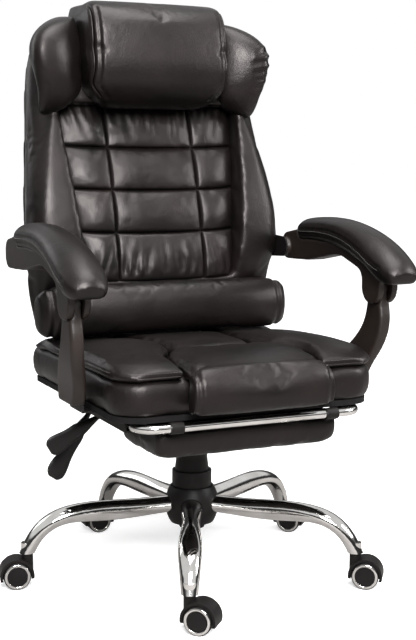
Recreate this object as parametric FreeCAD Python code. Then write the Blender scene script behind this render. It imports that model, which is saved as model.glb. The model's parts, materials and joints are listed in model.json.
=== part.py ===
import FreeCAD, Part
import math
import os

# Reclining office chair with a pull-out footrest. Millimetres, +Z up, front of the chair towards -Y.
# The origin lies on the floor under the gas lift, and the chair stands with its casters on Z = 0.

# Clearances
running_clearance = 0.05
slide_clearance = 0.5
side_gap = 0.5
soft_gap = 1.5

# Five-legged base
leg_count = 5
leg_phase = -24.45
leg_reach = 330.0
leg_height = 135.0
leg_bend_radius = 100.0
leg_bend_angle = 66.0
leg_tip_height = 66.5
leg_width = 36.0
leg_depth = 38.0
leg_bend_width = 43.0
leg_bend_depth = 30.0
leg_tip_size = 28.0
leg_wall = 2.5
hub_radius = 37.0
hub_bottom = 106.0
hub_top = 165.0
hub_cover_radius = 53.0
hub_cover_rim = 43.0
hub_cover_bottom = 100.0
hub_cover_top = 172.0

# Gas lift and its telescopic cover
column_radius = 25.0
column_bottom = 88.0
column_top = 232.0
column_floor = 12.0
piston_radius = 15.0
piston_bottom = 118.0
cover_wall = 4.0
cover_lower_top = 204.0
cover_upper_bottom = 122.0
hub_collar_height = 12.0
cover_upper_radius = 33.6
cover_neck_radius = 30.8
cover_neck_height = 230.0

# Casters
wheel_radius = 26.0
wheel_outer_face = 23.0
wheel_inner_face = 4.4
wheel_ring_inner_radius = 19.0
wheel_ring_height = 1.2
wheel_gap = 1.4
wheel_round = 2.0
caster_trail = 21.0
caster_directions = (-43.5, -37.6, -43.3, 179.6, 169.1)
hood_radius = 32.5
hood_half_width = 20.5
web_half_width = 3.4
stem_boss_radius = 11.0
stem_radius = 5.5
stem_length = 26.0
stem_engagement = 12.0
axle_radius = 4.0
caster_top_gap = 0.5

# Seat
seat_half_width = 265.0
seat_front = -288.0
seat_rear = 240.0
seat_front_corner = 62.0
seat_rear_corner = 26.0
board_bottom = 366.0
board_thickness = 10.0
board_inset = 14.0
base_cushion_height = 61.0
pad_height = 30.0
front_pad_half_width = 136.0
front_pad_neck = 75.0
front_pad_rear = -121.0
front_pad_reach = 44.0
front_pad_sweep = 132.0
middle_gap = 0.7
front_pad_drop = 58.0
rear_pad_end = 203.0
rear_pad_seam = 45.0
rear_pad_half_width = 97.0
pillow_shelf = 15.0

# Mechanism under the seat
housing_half_width = 95.0
housing_front = -62.0
housing_rear = 190.0
housing_bottom = 318.0
bolt_radius = 3.0
bolt_head_radius = 5.5
bolt_head_height = 5.0
bolt_inset = 20.0
bolt_grip = 0.6

# Recline pivot, arm linkage and its two pivots on each side
recline_pivot_y = 238.0
recline_pivot_z = 456.0
link_back = -103.0
link_up = 174.0
arm_base_pivot_y = -93.0
arm_base_pivot_z = 398.0
shaft_radius = 8.0
bar_radius = 14.0
bar_half_length = 155.0
recline_plate = 6.0
recline_plate_radius = 14.0
recline_foot_depth = 16.0
recline_slot_radius = 36.0
shaft_nut = 3.0
stud_radius = 6.0
strap_thickness = 6.0
strap_gap = 0.3
strap_width = 40.0
strap_centre = 115.0
strap_height = 560.0

# Back
back_bottom = 462.0
back_top = 1098.0
back_foot_y = 224.0
back_lean = 0.1936
back_curve = 7.18e-5
back_half_width = 269.0
back_board_thickness = 12.0
back_board_half_width = 222.0
back_board_inset = 18.0
board_facets = 5
shell_depth = 26.0
panel_bottom = 570.0
panel_row = 86.0
panel_top_row = 82.0
panel_bottom_row = 99.0
panel_half_width_top = 198.0
panel_half_width_bottom = 160.0
panel_seam_x = 94.0
panel_puff = 15.0
panel_thickness = 34.0
panel_pocket_gap = 0.7
pillow_bottom = 456.0
pillow_top = 566.0
pillow_half_width = 272.0
pillow_front_y = 92.0
pillow_rear_y = 160.0
headrest_bottom = 918.0
headrest_top = 1124.0
headrest_half_width = 149.0
wing_bottom = 882.0
wing_tip_x = 258.0
wing_tip_y = 165.0
wing_tip_z = 1034.0

# Arms
arm_centre_x = 304.0
arm_frame_width = 42.0
arm_hinge_plate = 3.5
arm_hinge_x = 269.5
arm_rear_radius = 27.0
arm_block_radius = 32.0
arm_slot_width = 16.6
tongue_width = 16.0
tongue_radius = 20.0
arm_pin_radius = 5.0
open_pivot_clearance = 1.0
foot_boss_radius = 16.0
upright_thickness = 25.0
foot_centre_x = 287.0
arm_bracket_wall = 3.4
arm_bracket_gap = 0.6
arm_bracket_half_length = 36.0
arm_hinge_boss_radius = 18.0
arm_block_clearance = 0.6

# Footrest
rail_x = 216.0
rail_radius = 8.0
rail_z = 355.5
rail_front_y = -280.0
rail_rear_y = 118.0
rail_corner = 36.0
runner_wall = 3.5
runner_front = -232.0
runner_rear = 128.0
footrest_half_width = 182.0
footrest_front = -264.0
footrest_rear = -75.0
footrest_bottom = 296.0
footrest_board_thickness = 6.0
footrest_board_top = 350.0
hinge_sleeve_radius = 10.5
hinge_sleeve_width = 24.0
hinge_sleeve_x = 152.0

# Levers under the seat's left side
lever_rod_radius = 5.0
lever_z = 332.0
height_lever_y = -22.0
recline_lever_y = 26.0
lever_rod_end = -206.0
paddle_width = 26.0
paddle_thickness = 9.0
lever_eye_radius = 8.0
lever_pin_radius = 3.0
lug_thickness = 4.0

# Heights and places that follow from the sizes above
board_top = board_bottom + board_thickness
cushion_top = board_top + base_cushion_height
pad_top = cushion_top + pad_height
arm_hinge_y = recline_pivot_y + link_back
arm_hinge_z = recline_pivot_z + link_up
arm_front_y = arm_base_pivot_y + link_back
arm_front_z = arm_base_pivot_z + link_up
housing_top = board_bottom
caster_top = leg_tip_height - caster_top_gap
footrest_pad_top = footrest_board_top - footrest_board_thickness

X = FreeCAD.Vector(1, 0, 0)
Y = FreeCAD.Vector(0, 1, 0)
Z = FreeCAD.Vector(0, 0, 1)


def vec(x, y, z):
    return FreeCAD.Vector(x, y, z)


def save(shape, name):
    shape.exportStep(os.path.join("parts", name + ".step"))
    state = "valid" if shape.isValid() else "NOT VALID"
    print(name, len(shape.Solids), "solid", round(shape.Volume), "mm3", state)


def save_pair(shape, name):
    save(shape, name + "_left")
    save(mirrored(shape), name + "_right")


# The biggest solid of a cut shape, without the slivers.
def largest(shape):
    return max(shape.Solids, key=lambda solid: solid.Volume)


def mirrored(shape):
    return shape.mirror(vec(0, 0, 0), X)


def both_sides(shape):
    return Part.makeCompound([shape, mirrored(shape)])


def turned(shape, angle, axis=Z, centre=FreeCAD.Vector(0, 0, 0)):
    copy = shape.copy()
    copy.rotate(centre, axis, angle)
    return copy


def moved(shape, offset):
    copy = shape.copy()
    copy.translate(offset)
    return copy


def box(low, high):
    size = high - low
    return Part.makeBox(size.x, size.y, size.z, low)


def rod_x(radius, x0, x1, y, z):
    return Part.makeCylinder(radius, x1 - x0, vec(x0, y, z), X)


def rod_y(radius, y0, y1, x, z):
    return Part.makeCylinder(radius, y1 - y0, vec(x, y0, z), Y)


def rod_z(radius, z0, z1, x=0.0, y=0.0):
    return Part.makeCylinder(radius, z1 - z0, vec(x, y, z0), Z)


def tube_z(outer, inner, z0, z1):
    return rod_z(outer, z0, z1).cut(rod_z(inner, z0 - 1, z1 + 1))


def in_yz(x):
    return lambda a, b: vec(x, a, b)


def in_xy(z):
    return lambda a, b: vec(a, b, z)


# A closed wire round the given corners, each (a, b, radius), with an arc at every corner that has a radius.
def rounded_outline(corners, place):
    edges = []
    starts = []
    count = len(corners)
    for index in range(count):
        before = corners[index - 1]
        here = corners[index]
        after = corners[(index + 1) % count]
        corner = place(here[0], here[1])
        back = (place(before[0], before[1]) - corner).normalize()
        ahead = (place(after[0], after[1]) - corner).normalize()
        radius = here[2]
        if radius <= 0:
            starts.append((corner, None, corner))
            continue
        half_angle = back.getAngle(ahead) / 2
        reach = radius / math.tan(half_angle)
        inward = (back + ahead).normalize()
        middle = corner + inward * (radius / math.sin(half_angle) - radius)
        starts.append((corner + back * reach, middle, corner + ahead * reach))
    for index in range(count):
        arc_start, middle, arc_end = starts[index]
        if middle is not None:
            edges.append(Part.Arc(arc_start, middle, arc_end).toShape())
        next_start = starts[(index + 1) % count][0]
        if arc_end.distanceToPoint(next_start) > 1e-6:
            edges.append(Part.makeLine(arc_end, next_start))
    return Part.Wire(edges)


def extruded(wire, along):
    return Part.Face(wire).extrude(along)


# A closed wire through the points. Each side stands out from the middle by its rise, or is straight at 0.
def puffed(points, rises):
    middle = vec(0, 0, 0)
    for point in points:
        middle = middle + point * (1.0 / len(points))
    edges = []
    for index, start in enumerate(points):
        end = points[(index + 1) % len(points)]
        rise = rises[index]
        if rise == 0:
            edges.append(Part.makeLine(start, end))
            continue
        half = (start + end) * 0.5
        along = (end - start).normalize()
        outward = half - middle
        outward = (outward - along * outward.dot(along)).normalize()
        edges.append(Part.Arc(start, half + outward * rise, end).toShape())
    return Part.Wire(edges)


def loft(wires):
    return Part.makeLoft(wires, True, False)


# A smooth closed oval about a centre, for lofted tubes.
def oval(centre, across, upward, half_width, half_depth):
    facing = across.cross(upward)
    wide = across * half_width
    deep = upward * half_depth
    stretch = FreeCAD.Matrix(wide.x, deep.x, facing.x, centre.x, wide.y, deep.y, facing.y, centre.y,
                             wide.z, deep.z, facing.z, centre.z)
    return Part.Wire([Part.makeCircle(1.0).transformGeometry(stretch)])


# A rounded rectangle about a centre, with the same eight edges whatever its size.
def rounded_section(centre, across, upward, half_width, half_depth, radius):
    def place(a, b):
        return centre + across * a + upward * b
    corners = [
        (half_width, -half_depth, radius),
        (half_width, half_depth, radius),
        (-half_width, half_depth, radius),
        (-half_width, -half_depth, radius),
    ]
    return rounded_outline(corners, place)


# Directions of a path in the YZ plane at each of its points: along it, and square to it.
def path_frames(points):
    frames = []
    for index, point in enumerate(points):
        before = points[max(index - 1, 0)]
        after = points[min(index + 1, len(points) - 1)]
        along = (after - before).normalize()
        frames.append((point, along, X.cross(along)))
    return frames


# Base

def leg_angles():
    return [leg_phase + 360.0 / leg_count * index for index in range(leg_count)]


# One leg along -Y: level from the hub, then bent down to its caster. Extra thickens it for a clearance cut.
def leg_form(extra=0.0):
    bend = math.radians(leg_bend_angle)
    drop_in_bend = leg_bend_radius * (1 - math.cos(bend))
    straight_drop = leg_height - drop_in_bend - leg_tip_height
    end_run = straight_drop / math.tan(bend)
    bend_start = leg_reach - leg_bend_radius * math.sin(bend) - end_run
    stations = [
        (12.0, 0.0, leg_width, leg_depth),
        ((bend_start + 12.0) / 2, 0.0, leg_width + 1, leg_depth - 0.5),
        (bend_start, 0.0, leg_bend_width - 2, leg_bend_depth + 5),
    ]
    wires = []
    for reach, angle, width, depth in stations:
        wires.append(leg_section(vec(0, -reach, leg_height), angle, width + 2 * extra, depth + 2 * extra))
    bend_stations = (
        (0.4, leg_bend_width, leg_bend_depth), (0.75, leg_bend_width - 6, leg_bend_depth - 2),
        (1.0, leg_tip_size + 4, leg_tip_size),
    )
    for share, width, depth in bend_stations:
        angle = bend * share
        reach = bend_start + leg_bend_radius * math.sin(angle)
        height = leg_height - leg_bend_radius * (1 - math.cos(angle))
        wires.append(leg_section(vec(0, -reach, height), angle, width + 2 * extra, depth + 2 * extra))
    overrun = leg_tip_size
    tip_reach = leg_reach + overrun / math.tan(bend)
    tip = vec(0, -tip_reach, leg_tip_height - overrun)
    wires.append(leg_section(tip, bend, leg_tip_size + 2 * extra, leg_tip_size - 2 + 2 * extra))
    return loft(wires)


def leg_section(centre, angle, width, depth):
    upward = vec(0, -math.sin(angle), math.cos(angle))
    return oval(centre, X, upward, width / 2, depth / 2)


def base_leg():
    leg = leg_form().cut(leg_form(-leg_wall))
    socket_height = stem_engagement + 8
    leg = leg.fuse(rod_z(stem_radius + 6, leg_tip_height, leg_tip_height + socket_height, 0, -leg_reach))
    below = box(vec(-100, -2 * leg_reach, -100), vec(100, 0, leg_tip_height))
    leg = leg.cut(below)
    leg = leg.cut(rod_z(hub_radius, 0, leg_height * 2))
    bore_top = leg_tip_height + stem_engagement + 2
    return leg.cut(rod_z(stem_radius + running_clearance, 0, bore_top, 0, -leg_reach))


def base_legs():
    leg = base_leg()
    return Part.makeCompound([turned(leg, angle) for angle in leg_angles()])


def hub_cover():
    middle_height = (hub_cover_bottom + hub_cover_top) / 2
    inner = hub_radius + 2 + cover_wall / 2
    profile = Part.Wire([
        Part.makeLine(vec(inner, 0, hub_cover_bottom), vec(hub_cover_rim, 0, hub_cover_bottom)),
        Part.Arc(vec(hub_cover_rim, 0, hub_cover_bottom), vec(hub_cover_radius, 0, middle_height),
                 vec(hub_cover_rim, 0, hub_cover_top)).toShape(),
        Part.makeLine(vec(hub_cover_rim, 0, hub_cover_top), vec(inner, 0, hub_cover_top)),
        Part.makeLine(vec(inner, 0, hub_cover_top), vec(inner, 0, hub_cover_bottom)),
    ])
    cover = Part.Face(profile).revolve(vec(0, 0, 0), Z, 360)
    opening = leg_form(side_gap)
    for angle in leg_angles():
        cover = cover.cut(turned(opening, angle))
    return cover


def save_base():
    collar_top = hub_bottom + hub_collar_height
    hub = tube_z(hub_radius, column_radius, hub_bottom, hub_top)
    hub = hub.cut(tube_z(cover_upper_radius + side_gap, column_radius - 1, collar_top, hub_top + 1))
    save(hub, "base_hub")
    save(base_legs(), "base_legs")
    save(hub_cover(), "hub_cover")
    column = rod_z(column_radius, column_bottom, column_top)
    save(column.cut(rod_z(piston_radius, column_bottom + column_floor, column_top + 1)), "gas_column")
    lower_outer = hub_radius + 2
    save(tube_z(lower_outer, lower_outer - cover_wall, hub_top, cover_lower_top), "cover_lower")


def cover_upper():
    inner = column_radius + 2.5
    top = housing_bottom - 0.3
    profile = Part.makePolygon([
        vec(inner, 0, cover_upper_bottom),
        vec(cover_upper_radius, 0, cover_upper_bottom),
        vec(cover_upper_radius, 0, cover_lower_top),
        vec(cover_neck_radius, 0, cover_neck_height),
        vec(cover_neck_radius, 0, top),
        vec(inner, 0, top),
        vec(inner, 0, cover_upper_bottom),
    ])
    return Part.Face(profile).revolve(vec(0, 0, 0), Z, 360)


def save_lift():
    rod = rod_z(piston_radius - running_clearance, piston_bottom, housing_bottom + 28)
    save(rod, "gas_piston")
    save(cover_upper(), "cover_upper")


# Casters, made with the trail along +X from the stem's axis

def caster_wheel(side):
    height = wheel_radius
    inner = wheel_inner_face * side
    rim_face = (wheel_outer_face - wheel_ring_height) * side
    face = wheel_outer_face * side
    low, high = sorted((inner, rim_face))
    wheel = rod_y(wheel_radius, low, high, caster_trail, height)
    edges = [edge for edge in wheel.Edges if abs(edge.CenterOfMass.y - rim_face) < 0.1]
    wheel = wheel.makeFillet(wheel_round, edges)
    low, high = sorted((rim_face, face))
    ring = rod_y(wheel_radius - 1.5, low, high, caster_trail, height)
    ring = ring.cut(rod_y(wheel_ring_inner_radius, low - 1, high + 1, caster_trail, height))
    cap = rod_y(wheel_ring_inner_radius - 1.5, low, high, caster_trail, height)
    wheel = wheel.fuse([ring, cap]).removeSplitter()
    low, high = sorted((0.0, rim_face - 1.5 * side))
    return wheel.cut(rod_y(axle_radius + running_clearance, low, high, caster_trail, height))


def caster_hood():
    height = wheel_radius
    hood = rod_y(hood_radius, -hood_half_width, hood_half_width, caster_trail, height)
    boss_foot = height + 4
    hood = hood.fuse(rod_z(stem_boss_radius, boss_foot, caster_top))
    open_front = 8.0
    open_rear = -8.0
    far = 4 * hood_radius
    below = extruded(Part.makePolygon([
        vec(-far, -far, height + open_front), vec(caster_trail, -far, height - 9),
        vec(far, -far, height + open_rear), vec(far, -far, -far), vec(-far, -far, -far),
        vec(-far, -far, height + open_front),
    ]), vec(0, 2 * far, 0))
    hood = hood.cut(below)
    well_radius = wheel_radius + wheel_gap
    for side in (1, -1):
        low, high = sorted((web_half_width * side, far * side))
        hood = hood.cut(rod_y(well_radius, low, high, caster_trail, height))
    hood = hood.cut(rod_y(axle_radius, -far, far, caster_trail, height))
    stem_foot = leg_tip_height + stem_engagement - stem_length
    return hood.cut(rod_z(stem_radius, stem_foot, caster_top + 1))


def caster_pins():
    axle_end = wheel_outer_face - wheel_ring_height - 3
    axle = rod_y(axle_radius, -axle_end, axle_end, caster_trail, wheel_radius)
    stem_top = leg_tip_height + stem_engagement
    stem = rod_z(stem_radius, stem_top - stem_length, stem_top)
    return Part.makeCompound([axle, stem])


def save_casters():
    pieces = {
        "hood": caster_hood(),
        "pins": caster_pins(),
        "wheel_a": caster_wheel(1),
        "wheel_b": caster_wheel(-1),
    }
    for index, angle in enumerate(leg_angles()):
        direction = math.radians(angle)
        place = vec(math.sin(direction) * leg_reach, -math.cos(direction) * leg_reach, 0)
        for name, shape in pieces.items():
            save(moved(turned(shape, caster_directions[index]), place), "caster_%d_%s" % (index + 1, name))


# Seat

def seat_outline(z, inset, front=seat_front, rear=seat_rear):
    half = seat_half_width - inset
    return rounded_outline([
        (-half, front + inset, seat_front_corner - inset / 2),
        (half, front + inset, seat_front_corner - inset / 2),
        (half, rear - inset, seat_rear_corner - inset / 2),
        (-half, rear - inset, seat_rear_corner - inset / 2),
    ], in_xy(z))


def seat_cushion():
    levels = ((0.0, 10.0), (0.13, 3.5), (0.5, 0.0), (0.87, 2.5), (1.0, 9.0))
    wires = [seat_outline(board_top + base_cushion_height * share, inset) for share, inset in levels]
    return loft(wires)


# The front pad's rear seam: straight across the middle, then curving forward to the pad's full width.
def front_pad_seam(x):
    reach = abs(x)
    if reach <= front_pad_neck:
        return front_pad_rear
    share = (reach - front_pad_neck) / (front_pad_half_width - front_pad_neck)
    return front_pad_rear - front_pad_sweep * (1 - math.sqrt(max(0.0, 1 - share ** 2)))


# Half width of the middle strip of the seat at a depth y, seen from above.
def middle_half_width(y):
    if y > front_pad_rear:
        share = (y - front_pad_rear) / (rear_pad_seam - front_pad_rear)
        return front_pad_neck + 4 + (rear_pad_half_width - front_pad_neck - 4) * min(share, 1.3)
    share = 1 - min((front_pad_rear - y) / front_pad_sweep, 1.0)
    return front_pad_neck + (front_pad_half_width - front_pad_neck) * math.sqrt(1 - share ** 2)


def front_pad_section(x, draw):
    rear = front_pad_seam(x)
    inner = seat_front - side_gap
    front = seat_front - front_pad_reach + draw
    bottom = cushion_top - front_pad_drop + draw / 2
    top = pad_top - draw
    front_top = vec(x, seat_front - 8 + draw, top - 12)
    rear_top = vec(x, rear, top - 3)
    nose = vec(x, front, cushion_top - 16)
    points = [
        vec(x, rear, cushion_top), rear_top, front_top, nose,
        vec(x, front + 10, bottom), vec(x, inner, bottom), vec(x, inner, cushion_top),
    ]
    return puffed(points, [0, 9 - draw * 0.4, 12, 3, 0, 0, 0])


def seat_pad_front():
    stations = []
    for share, draw in ((1.0, 9.0), (0.93, 2.5), (0.78, 0.5), (0.55, 0.0)):
        stations.append((front_pad_half_width * share, draw))
    wires = [front_pad_section(-x, draw) for x, draw in stations]
    wires.append(front_pad_section(0.0, 0.0))
    wires.extend(front_pad_section(x, draw) for x, draw in reversed(stations))
    return loft(wires)


def rear_pad_section(y, height, crown):
    half = middle_half_width(y)
    top = cushion_top + height
    return puffed([
        vec(-half, y, cushion_top), vec(-half, y, top), vec(half, y, top), vec(half, y, cushion_top),
    ], [0, crown, 0, 0])


# Stations from the front pad's seam to under the lumbar pillow: height and crown of the top, evenly spaced.
def seat_pad_rear():
    start = front_pad_rear + soft_gap
    shelf = pad_height - pillow_shelf
    stations = (
        (22.0, 3.0), (26.0, 4.0), (26.0, 4.0), (25.0, 3.5), (22.0, 3.0),
        (shelf + 2, 2.0), (shelf, 1.5), (shelf - 1, 1.0),
    )
    step = (rear_pad_end - start) / (len(stations) - 1)
    wires = []
    for index, (height, crown) in enumerate(stations):
        wires.append(rear_pad_section(start + step * index, height, crown))
    return loft(wires)


# Outer edge of the seat's side pads at a depth y, following the rounded front corners of the seat.
def pad_outer_edge(y):
    corner_y = seat_front + seat_front_corner
    if y >= corner_y:
        return seat_half_width
    rise = (corner_y - y) / seat_front_corner
    return seat_half_width - seat_front_corner * (1 - math.sqrt(max(0.0, 1 - rise ** 2)))


def side_pad_section(y, height, crown):
    inner = middle_half_width(y) + middle_gap
    outer = pad_outer_edge(y)
    foot = min(9.0, (outer - inner) / 4)
    top = cushion_top + height
    shoulder = cushion_top + height * 0.7
    return puffed([
        vec(-inner, y, cushion_top), vec(-outer + foot, y, cushion_top),
        vec(-outer + foot / 2, y, shoulder), vec(-inner, y, top),
    ], [0, height * 0.15, crown, 1])


# Stations from the front end to under the lumbar pillow: share of the length, height and crown of the top.
def seat_side_pad():
    front_end = seat_front + 5
    length = rear_pad_end - front_end
    shelf = pad_height - pillow_shelf
    stations = (
        (0.0, 13.0, 4.0), (0.05, 19.0, 6.0), (0.12, 24.0, 9.0), (0.21, 27.0, 11.0), (0.31, 29.0, 12.0),
        (0.43, 28.0, 12.0), (0.55, 26.0, 10.0), (0.66, 22.0, 7.0), (0.77, shelf + 1, 4.0), (0.88, shelf, 2.5),
        (1.0, shelf - 2, 2.0),
    )
    wires = []
    for share, height, crown in stations:
        wires.append(side_pad_section(front_end + length * share, height, crown))
    return loft(wires)


def seat_board():
    board = extruded(seat_outline(board_bottom, board_inset), Z * board_thickness)
    return board.cut(seat_bolt_shanks())


def bolt_places():
    x = housing_half_width - bolt_inset
    front = housing_front + bolt_inset
    rear = housing_rear - bolt_inset
    return [(-x, front), (-x, rear), (x, front), (x, rear)]


def seat_bolt_shank(x, y):
    return rod_z(bolt_radius, housing_bottom, board_bottom + board_thickness * bolt_grip, x, y)


def seat_bolt_shanks():
    return Part.makeCompound([seat_bolt_shank(x, y) for x, y in bolt_places()])


def seat_bolts():
    bolts = []
    for x, y in bolt_places():
        corners = [vec(x + bolt_head_radius * math.cos(math.radians(60 * step)),
                       y + bolt_head_radius * math.sin(math.radians(60 * step)),
                       housing_bottom - bolt_head_height) for step in range(7)]
        head = extruded(Part.makePolygon(corners), Z * bolt_head_height)
        bolts.append(head.fuse(seat_bolt_shank(x, y)).removeSplitter())
    return Part.makeCompound(bolts)


def mechanism_housing():
    half = housing_half_width
    corner = 16.0
    outline = rounded_outline([
        (-half, housing_front, corner), (half, housing_front, corner),
        (half, housing_rear, corner), (-half, housing_rear, corner),
    ], in_xy(housing_bottom))
    housing = extruded(outline, Z * (housing_top - housing_bottom))
    bottom_edges = [edge for edge in housing.Edges if edge.BoundBox.ZMax < housing_bottom + 1]
    housing = housing.makeFillet(6.0, bottom_edges)
    lug_gap = lever_rod_radius + 1
    for side in (-1, 1):
        low, high = sorted((lug_gap * side, (lug_gap + lug_thickness) * side))
        lug = box(vec(lever_eye_x() - 8, height_lever_y + low, lever_z - 10),
                  vec(-half + 10, height_lever_y + high, lever_z + 10))
        housing = housing.fuse(lug)
    pin_reach = lug_gap + lug_thickness
    housing = housing.fuse(rod_y(lever_pin_radius, height_lever_y - pin_reach, height_lever_y + pin_reach,
                                 lever_eye_x(), lever_z))
    housing = housing.cut(rod_z(piston_radius, housing_bottom - 1, housing_bottom + 30))
    housing = housing.cut(rod_x(lever_rod_radius + running_clearance, -half - 1, -half + 32,
                                recline_lever_y, lever_z))
    return housing.cut(seat_bolt_shanks())


def lever_eye_x():
    return -housing_half_width - 12.0


def recline_bracket():
    y = recline_pivot_y
    z = recline_pivot_z
    front = seat_rear + 4
    rear = front + 18
    foot = board_bottom - recline_foot_depth
    radius = recline_plate_radius
    plate = extruded(rounded_outline([
        (housing_rear - 60, board_bottom, 0), (front, board_bottom, 0), (front, z - radius - 3, 3),
        (y - radius, z - radius, radius - 1), (y - radius, z + radius, radius - 1),
        (y + radius + 4, z + radius, radius - 1), (rear, z - 30, 12), (rear, foot, 20),
        (housing_rear - 60, foot, 6),
    ], in_yz(bar_half_length + side_gap)), X * recline_plate)
    return plate.cut(rod_x(shaft_radius, 0, 2 * bar_half_length, y, z))


def recline_shaft():
    reach = bar_half_length + side_gap + recline_plate + shaft_nut
    return rod_x(shaft_radius, -reach, reach, recline_pivot_y, recline_pivot_z)


def footrest_runner():
    outer = rail_radius + slide_clearance + runner_wall
    low = rail_z - rail_radius - slide_clearance
    high = rail_z + rail_radius + slide_clearance
    runner = box(vec(rail_x - outer, runner_front, low - runner_wall + 1),
                 vec(rail_x + outer, runner_rear, board_bottom))
    cavity = rail_radius + slide_clearance
    channel = box(vec(rail_x - cavity, runner_front - 1, low), vec(rail_x + cavity, runner_rear + 1, high))
    return runner.cut(channel)


def arm_bracket():
    inner = seat_half_width + arm_bracket_gap
    outer = inner + arm_bracket_wall
    y = arm_base_pivot_y
    z = arm_base_pivot_z
    half_length = arm_bracket_half_length
    foot = board_bottom - arm_bracket_wall
    wall = extruded(rounded_outline([
        (y - half_length, foot, 0), (y + half_length, foot, 0), (y + 20, z + 16, 14), (y - 20, z + 16, 14),
    ], in_yz(inner)), X * arm_bracket_wall)
    flange_inner = rail_x + rail_radius + slide_clearance + runner_wall + soft_gap
    flange = box(vec(flange_inner, y - half_length, board_bottom - arm_bracket_wall),
                 vec(outer, y + half_length, board_bottom))
    stud = rod_x(stud_radius, inner, foot_centre_x + upright_thickness / 2 - 6, y, z)
    return wall.fuse([flange, stud]).removeSplitter()


def save_seat():
    front_pad = seat_pad_front()
    rear_pad = seat_pad_rear()
    side_pad = seat_side_pad().cut(front_pad).cut(rear_pad)
    save(mechanism_housing(), "mechanism_housing")
    save(both_sides(recline_bracket()), "recline_brackets")
    save(recline_shaft(), "recline_shaft")
    save(seat_board(), "seat_board")
    save(seat_cushion(), "seat_cushion")
    save(front_pad, "seat_pad_front")
    save(rear_pad, "seat_pad_rear")
    save_pair(side_pad, "seat_pad")
    save(both_sides(footrest_runner()), "footrest_runners")
    save(both_sides(arm_bracket()), "arm_brackets")
    save(seat_bolts(), "seat_bolts")


# Back

# Depth of the back board's front face at a height z: it leans back and straightens towards the top.
def board_face(z):
    rise = z - back_bottom
    return back_foot_y + back_lean * rise - back_curve * rise ** 2


# The back's stations from the bottom up: share of the height, half width lost, and cushion depth at the side.
back_stations = (
    (0.0, 16.0, 70.0), (0.09, 8.0, 84.0), (0.17, 4.0, 94.0), (0.235, 1.0, 112.0), (0.33, 0.0, 122.0),
    (0.50, 6.0, 111.0), (0.71, 15.0, 80.0), (0.85, 25.0, 62.0), (0.95, 52.0, 48.0), (1.0, 92.0, 38.0),
)


def back_height(share):
    return back_bottom + (back_top - back_bottom) * share


def back_side_depth(z):
    share = (z - back_bottom) / (back_top - back_bottom)
    return interpolate(share, [(station[0], station[2]) for station in back_stations])


def interpolate(value, pairs):
    for (a, low), (b, high) in zip(pairs, pairs[1:]):
        if value <= b:
            return low + (high - low) * max(0.0, value - a) / (b - a)
    return pairs[-1][1]


def back_joint_line(z):
    return board_face(z) + back_board_thickness / 2


def back_cushion_section(share, narrower, depth):
    z = back_height(share)
    half = back_half_width - narrower
    rear = back_joint_line(z) - soft_gap / 2
    front = board_face(z) - depth
    edge = 18.0
    return puffed([
        vec(-half + 5, rear, z), vec(-half + 3, front + edge, z), vec(-half + 45, front, z),
        vec(half - 45, front, z), vec(half - 3, front + edge, z), vec(half - 5, rear, z),
    ], [5, 7, 1.5, 7, 5, 0])


def panel_half_width(z):
    share = (z - panel_bottom) / (headrest_bottom - panel_bottom)
    return panel_half_width_bottom + (panel_half_width_top - panel_half_width_bottom) * share


# Depth of the quilted panel's seams in front of the board.
def panel_depth(z):
    share = (z - panel_bottom) / (headrest_bottom - panel_bottom)
    return interpolate(share, [(0.0, 95.0), (0.28, 94.0), (0.53, 90.0), (0.78, 71.0), (1.0, 55.0)])


def panel_section(z, fullness):
    half = panel_half_width(z)
    front = board_face(z) - panel_depth(z)
    rear = board_face(z) - panel_depth(z) + panel_thickness
    side = 10.0
    seam = panel_seam_x
    puff = panel_puff * fullness + 1.0
    points = [
        vec(-half, rear, z), vec(-half, front + side, z), vec(-seam, front, z),
        vec(seam, front, z), vec(half, front + side, z), vec(half, rear, z),
    ]
    return puffed(points, [0, puff * 0.8, puff, puff * 0.8, 0, 0])


# Room in the back cushion for the quilted panel, open to the front.
def panel_recess():
    low = panel_bottom - panel_pocket_gap
    top = panel_rows()[-1][1] + panel_pocket_gap
    wires = []
    for share in (0.0, 0.14, 0.28, 0.4, 0.53, 0.65, 0.78, 0.89, 1.0):
        z = low + (top - low) * share
        half = panel_half_width(z) + panel_pocket_gap
        rear = board_face(z) - panel_depth(z) + panel_thickness + panel_pocket_gap
        front = rear - 200
        corners = [vec(-half, rear, z), vec(-half, front, z), vec(half, front, z), vec(half, rear, z)]
        wires.append(Part.makePolygon(corners + corners[:1]))
    return loft(wires)


def panel_rows():
    top = panel_bottom + panel_bottom_row + 2 * panel_row + panel_top_row
    seams = [panel_bottom, panel_bottom + panel_bottom_row, panel_bottom + panel_bottom_row + panel_row,
             panel_bottom + panel_bottom_row + 2 * panel_row, top]
    return list(zip(seams, seams[1:]))


# The sewn panel: rows of three puffs with a sharp seam between rows.
def quilted_panel():
    panel = None
    for low, high in panel_rows():
        step = (high - low) / 6
        row = loft([
            panel_section(low, 0.0), panel_section(low + step, 0.75), panel_section((low + high) / 2, 1.0),
            panel_section(high - step, 0.75), panel_section(high, 0.0),
        ])
        panel = row if panel is None else panel.fuse(row)
    return panel


def pillow_section(x, draw):
    rear = pillow_rear_y
    bottom = pillow_bottom + draw
    top = pillow_top - draw
    belly = rear - 34
    bulge = belly - pillow_front_y - draw * 1.4
    return puffed([
        vec(x, rear, bottom + 12), vec(x, belly, bottom), vec(x, belly, top), vec(x, rear, top - 12),
    ], [3, bulge, 3, 0])


def lumbar_pillow():
    stations = ((1.0, 20.0), (0.96, 10.0), (0.86, 4.0), (0.65, 1.0), (0.35, 0.0))
    wires = [pillow_section(-pillow_half_width * share, draw) for share, draw in stations]
    wires.append(pillow_section(0.0, -1.0))
    wires.extend(pillow_section(pillow_half_width * share, draw) for share, draw in reversed(stations))
    return loft(wires)


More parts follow.
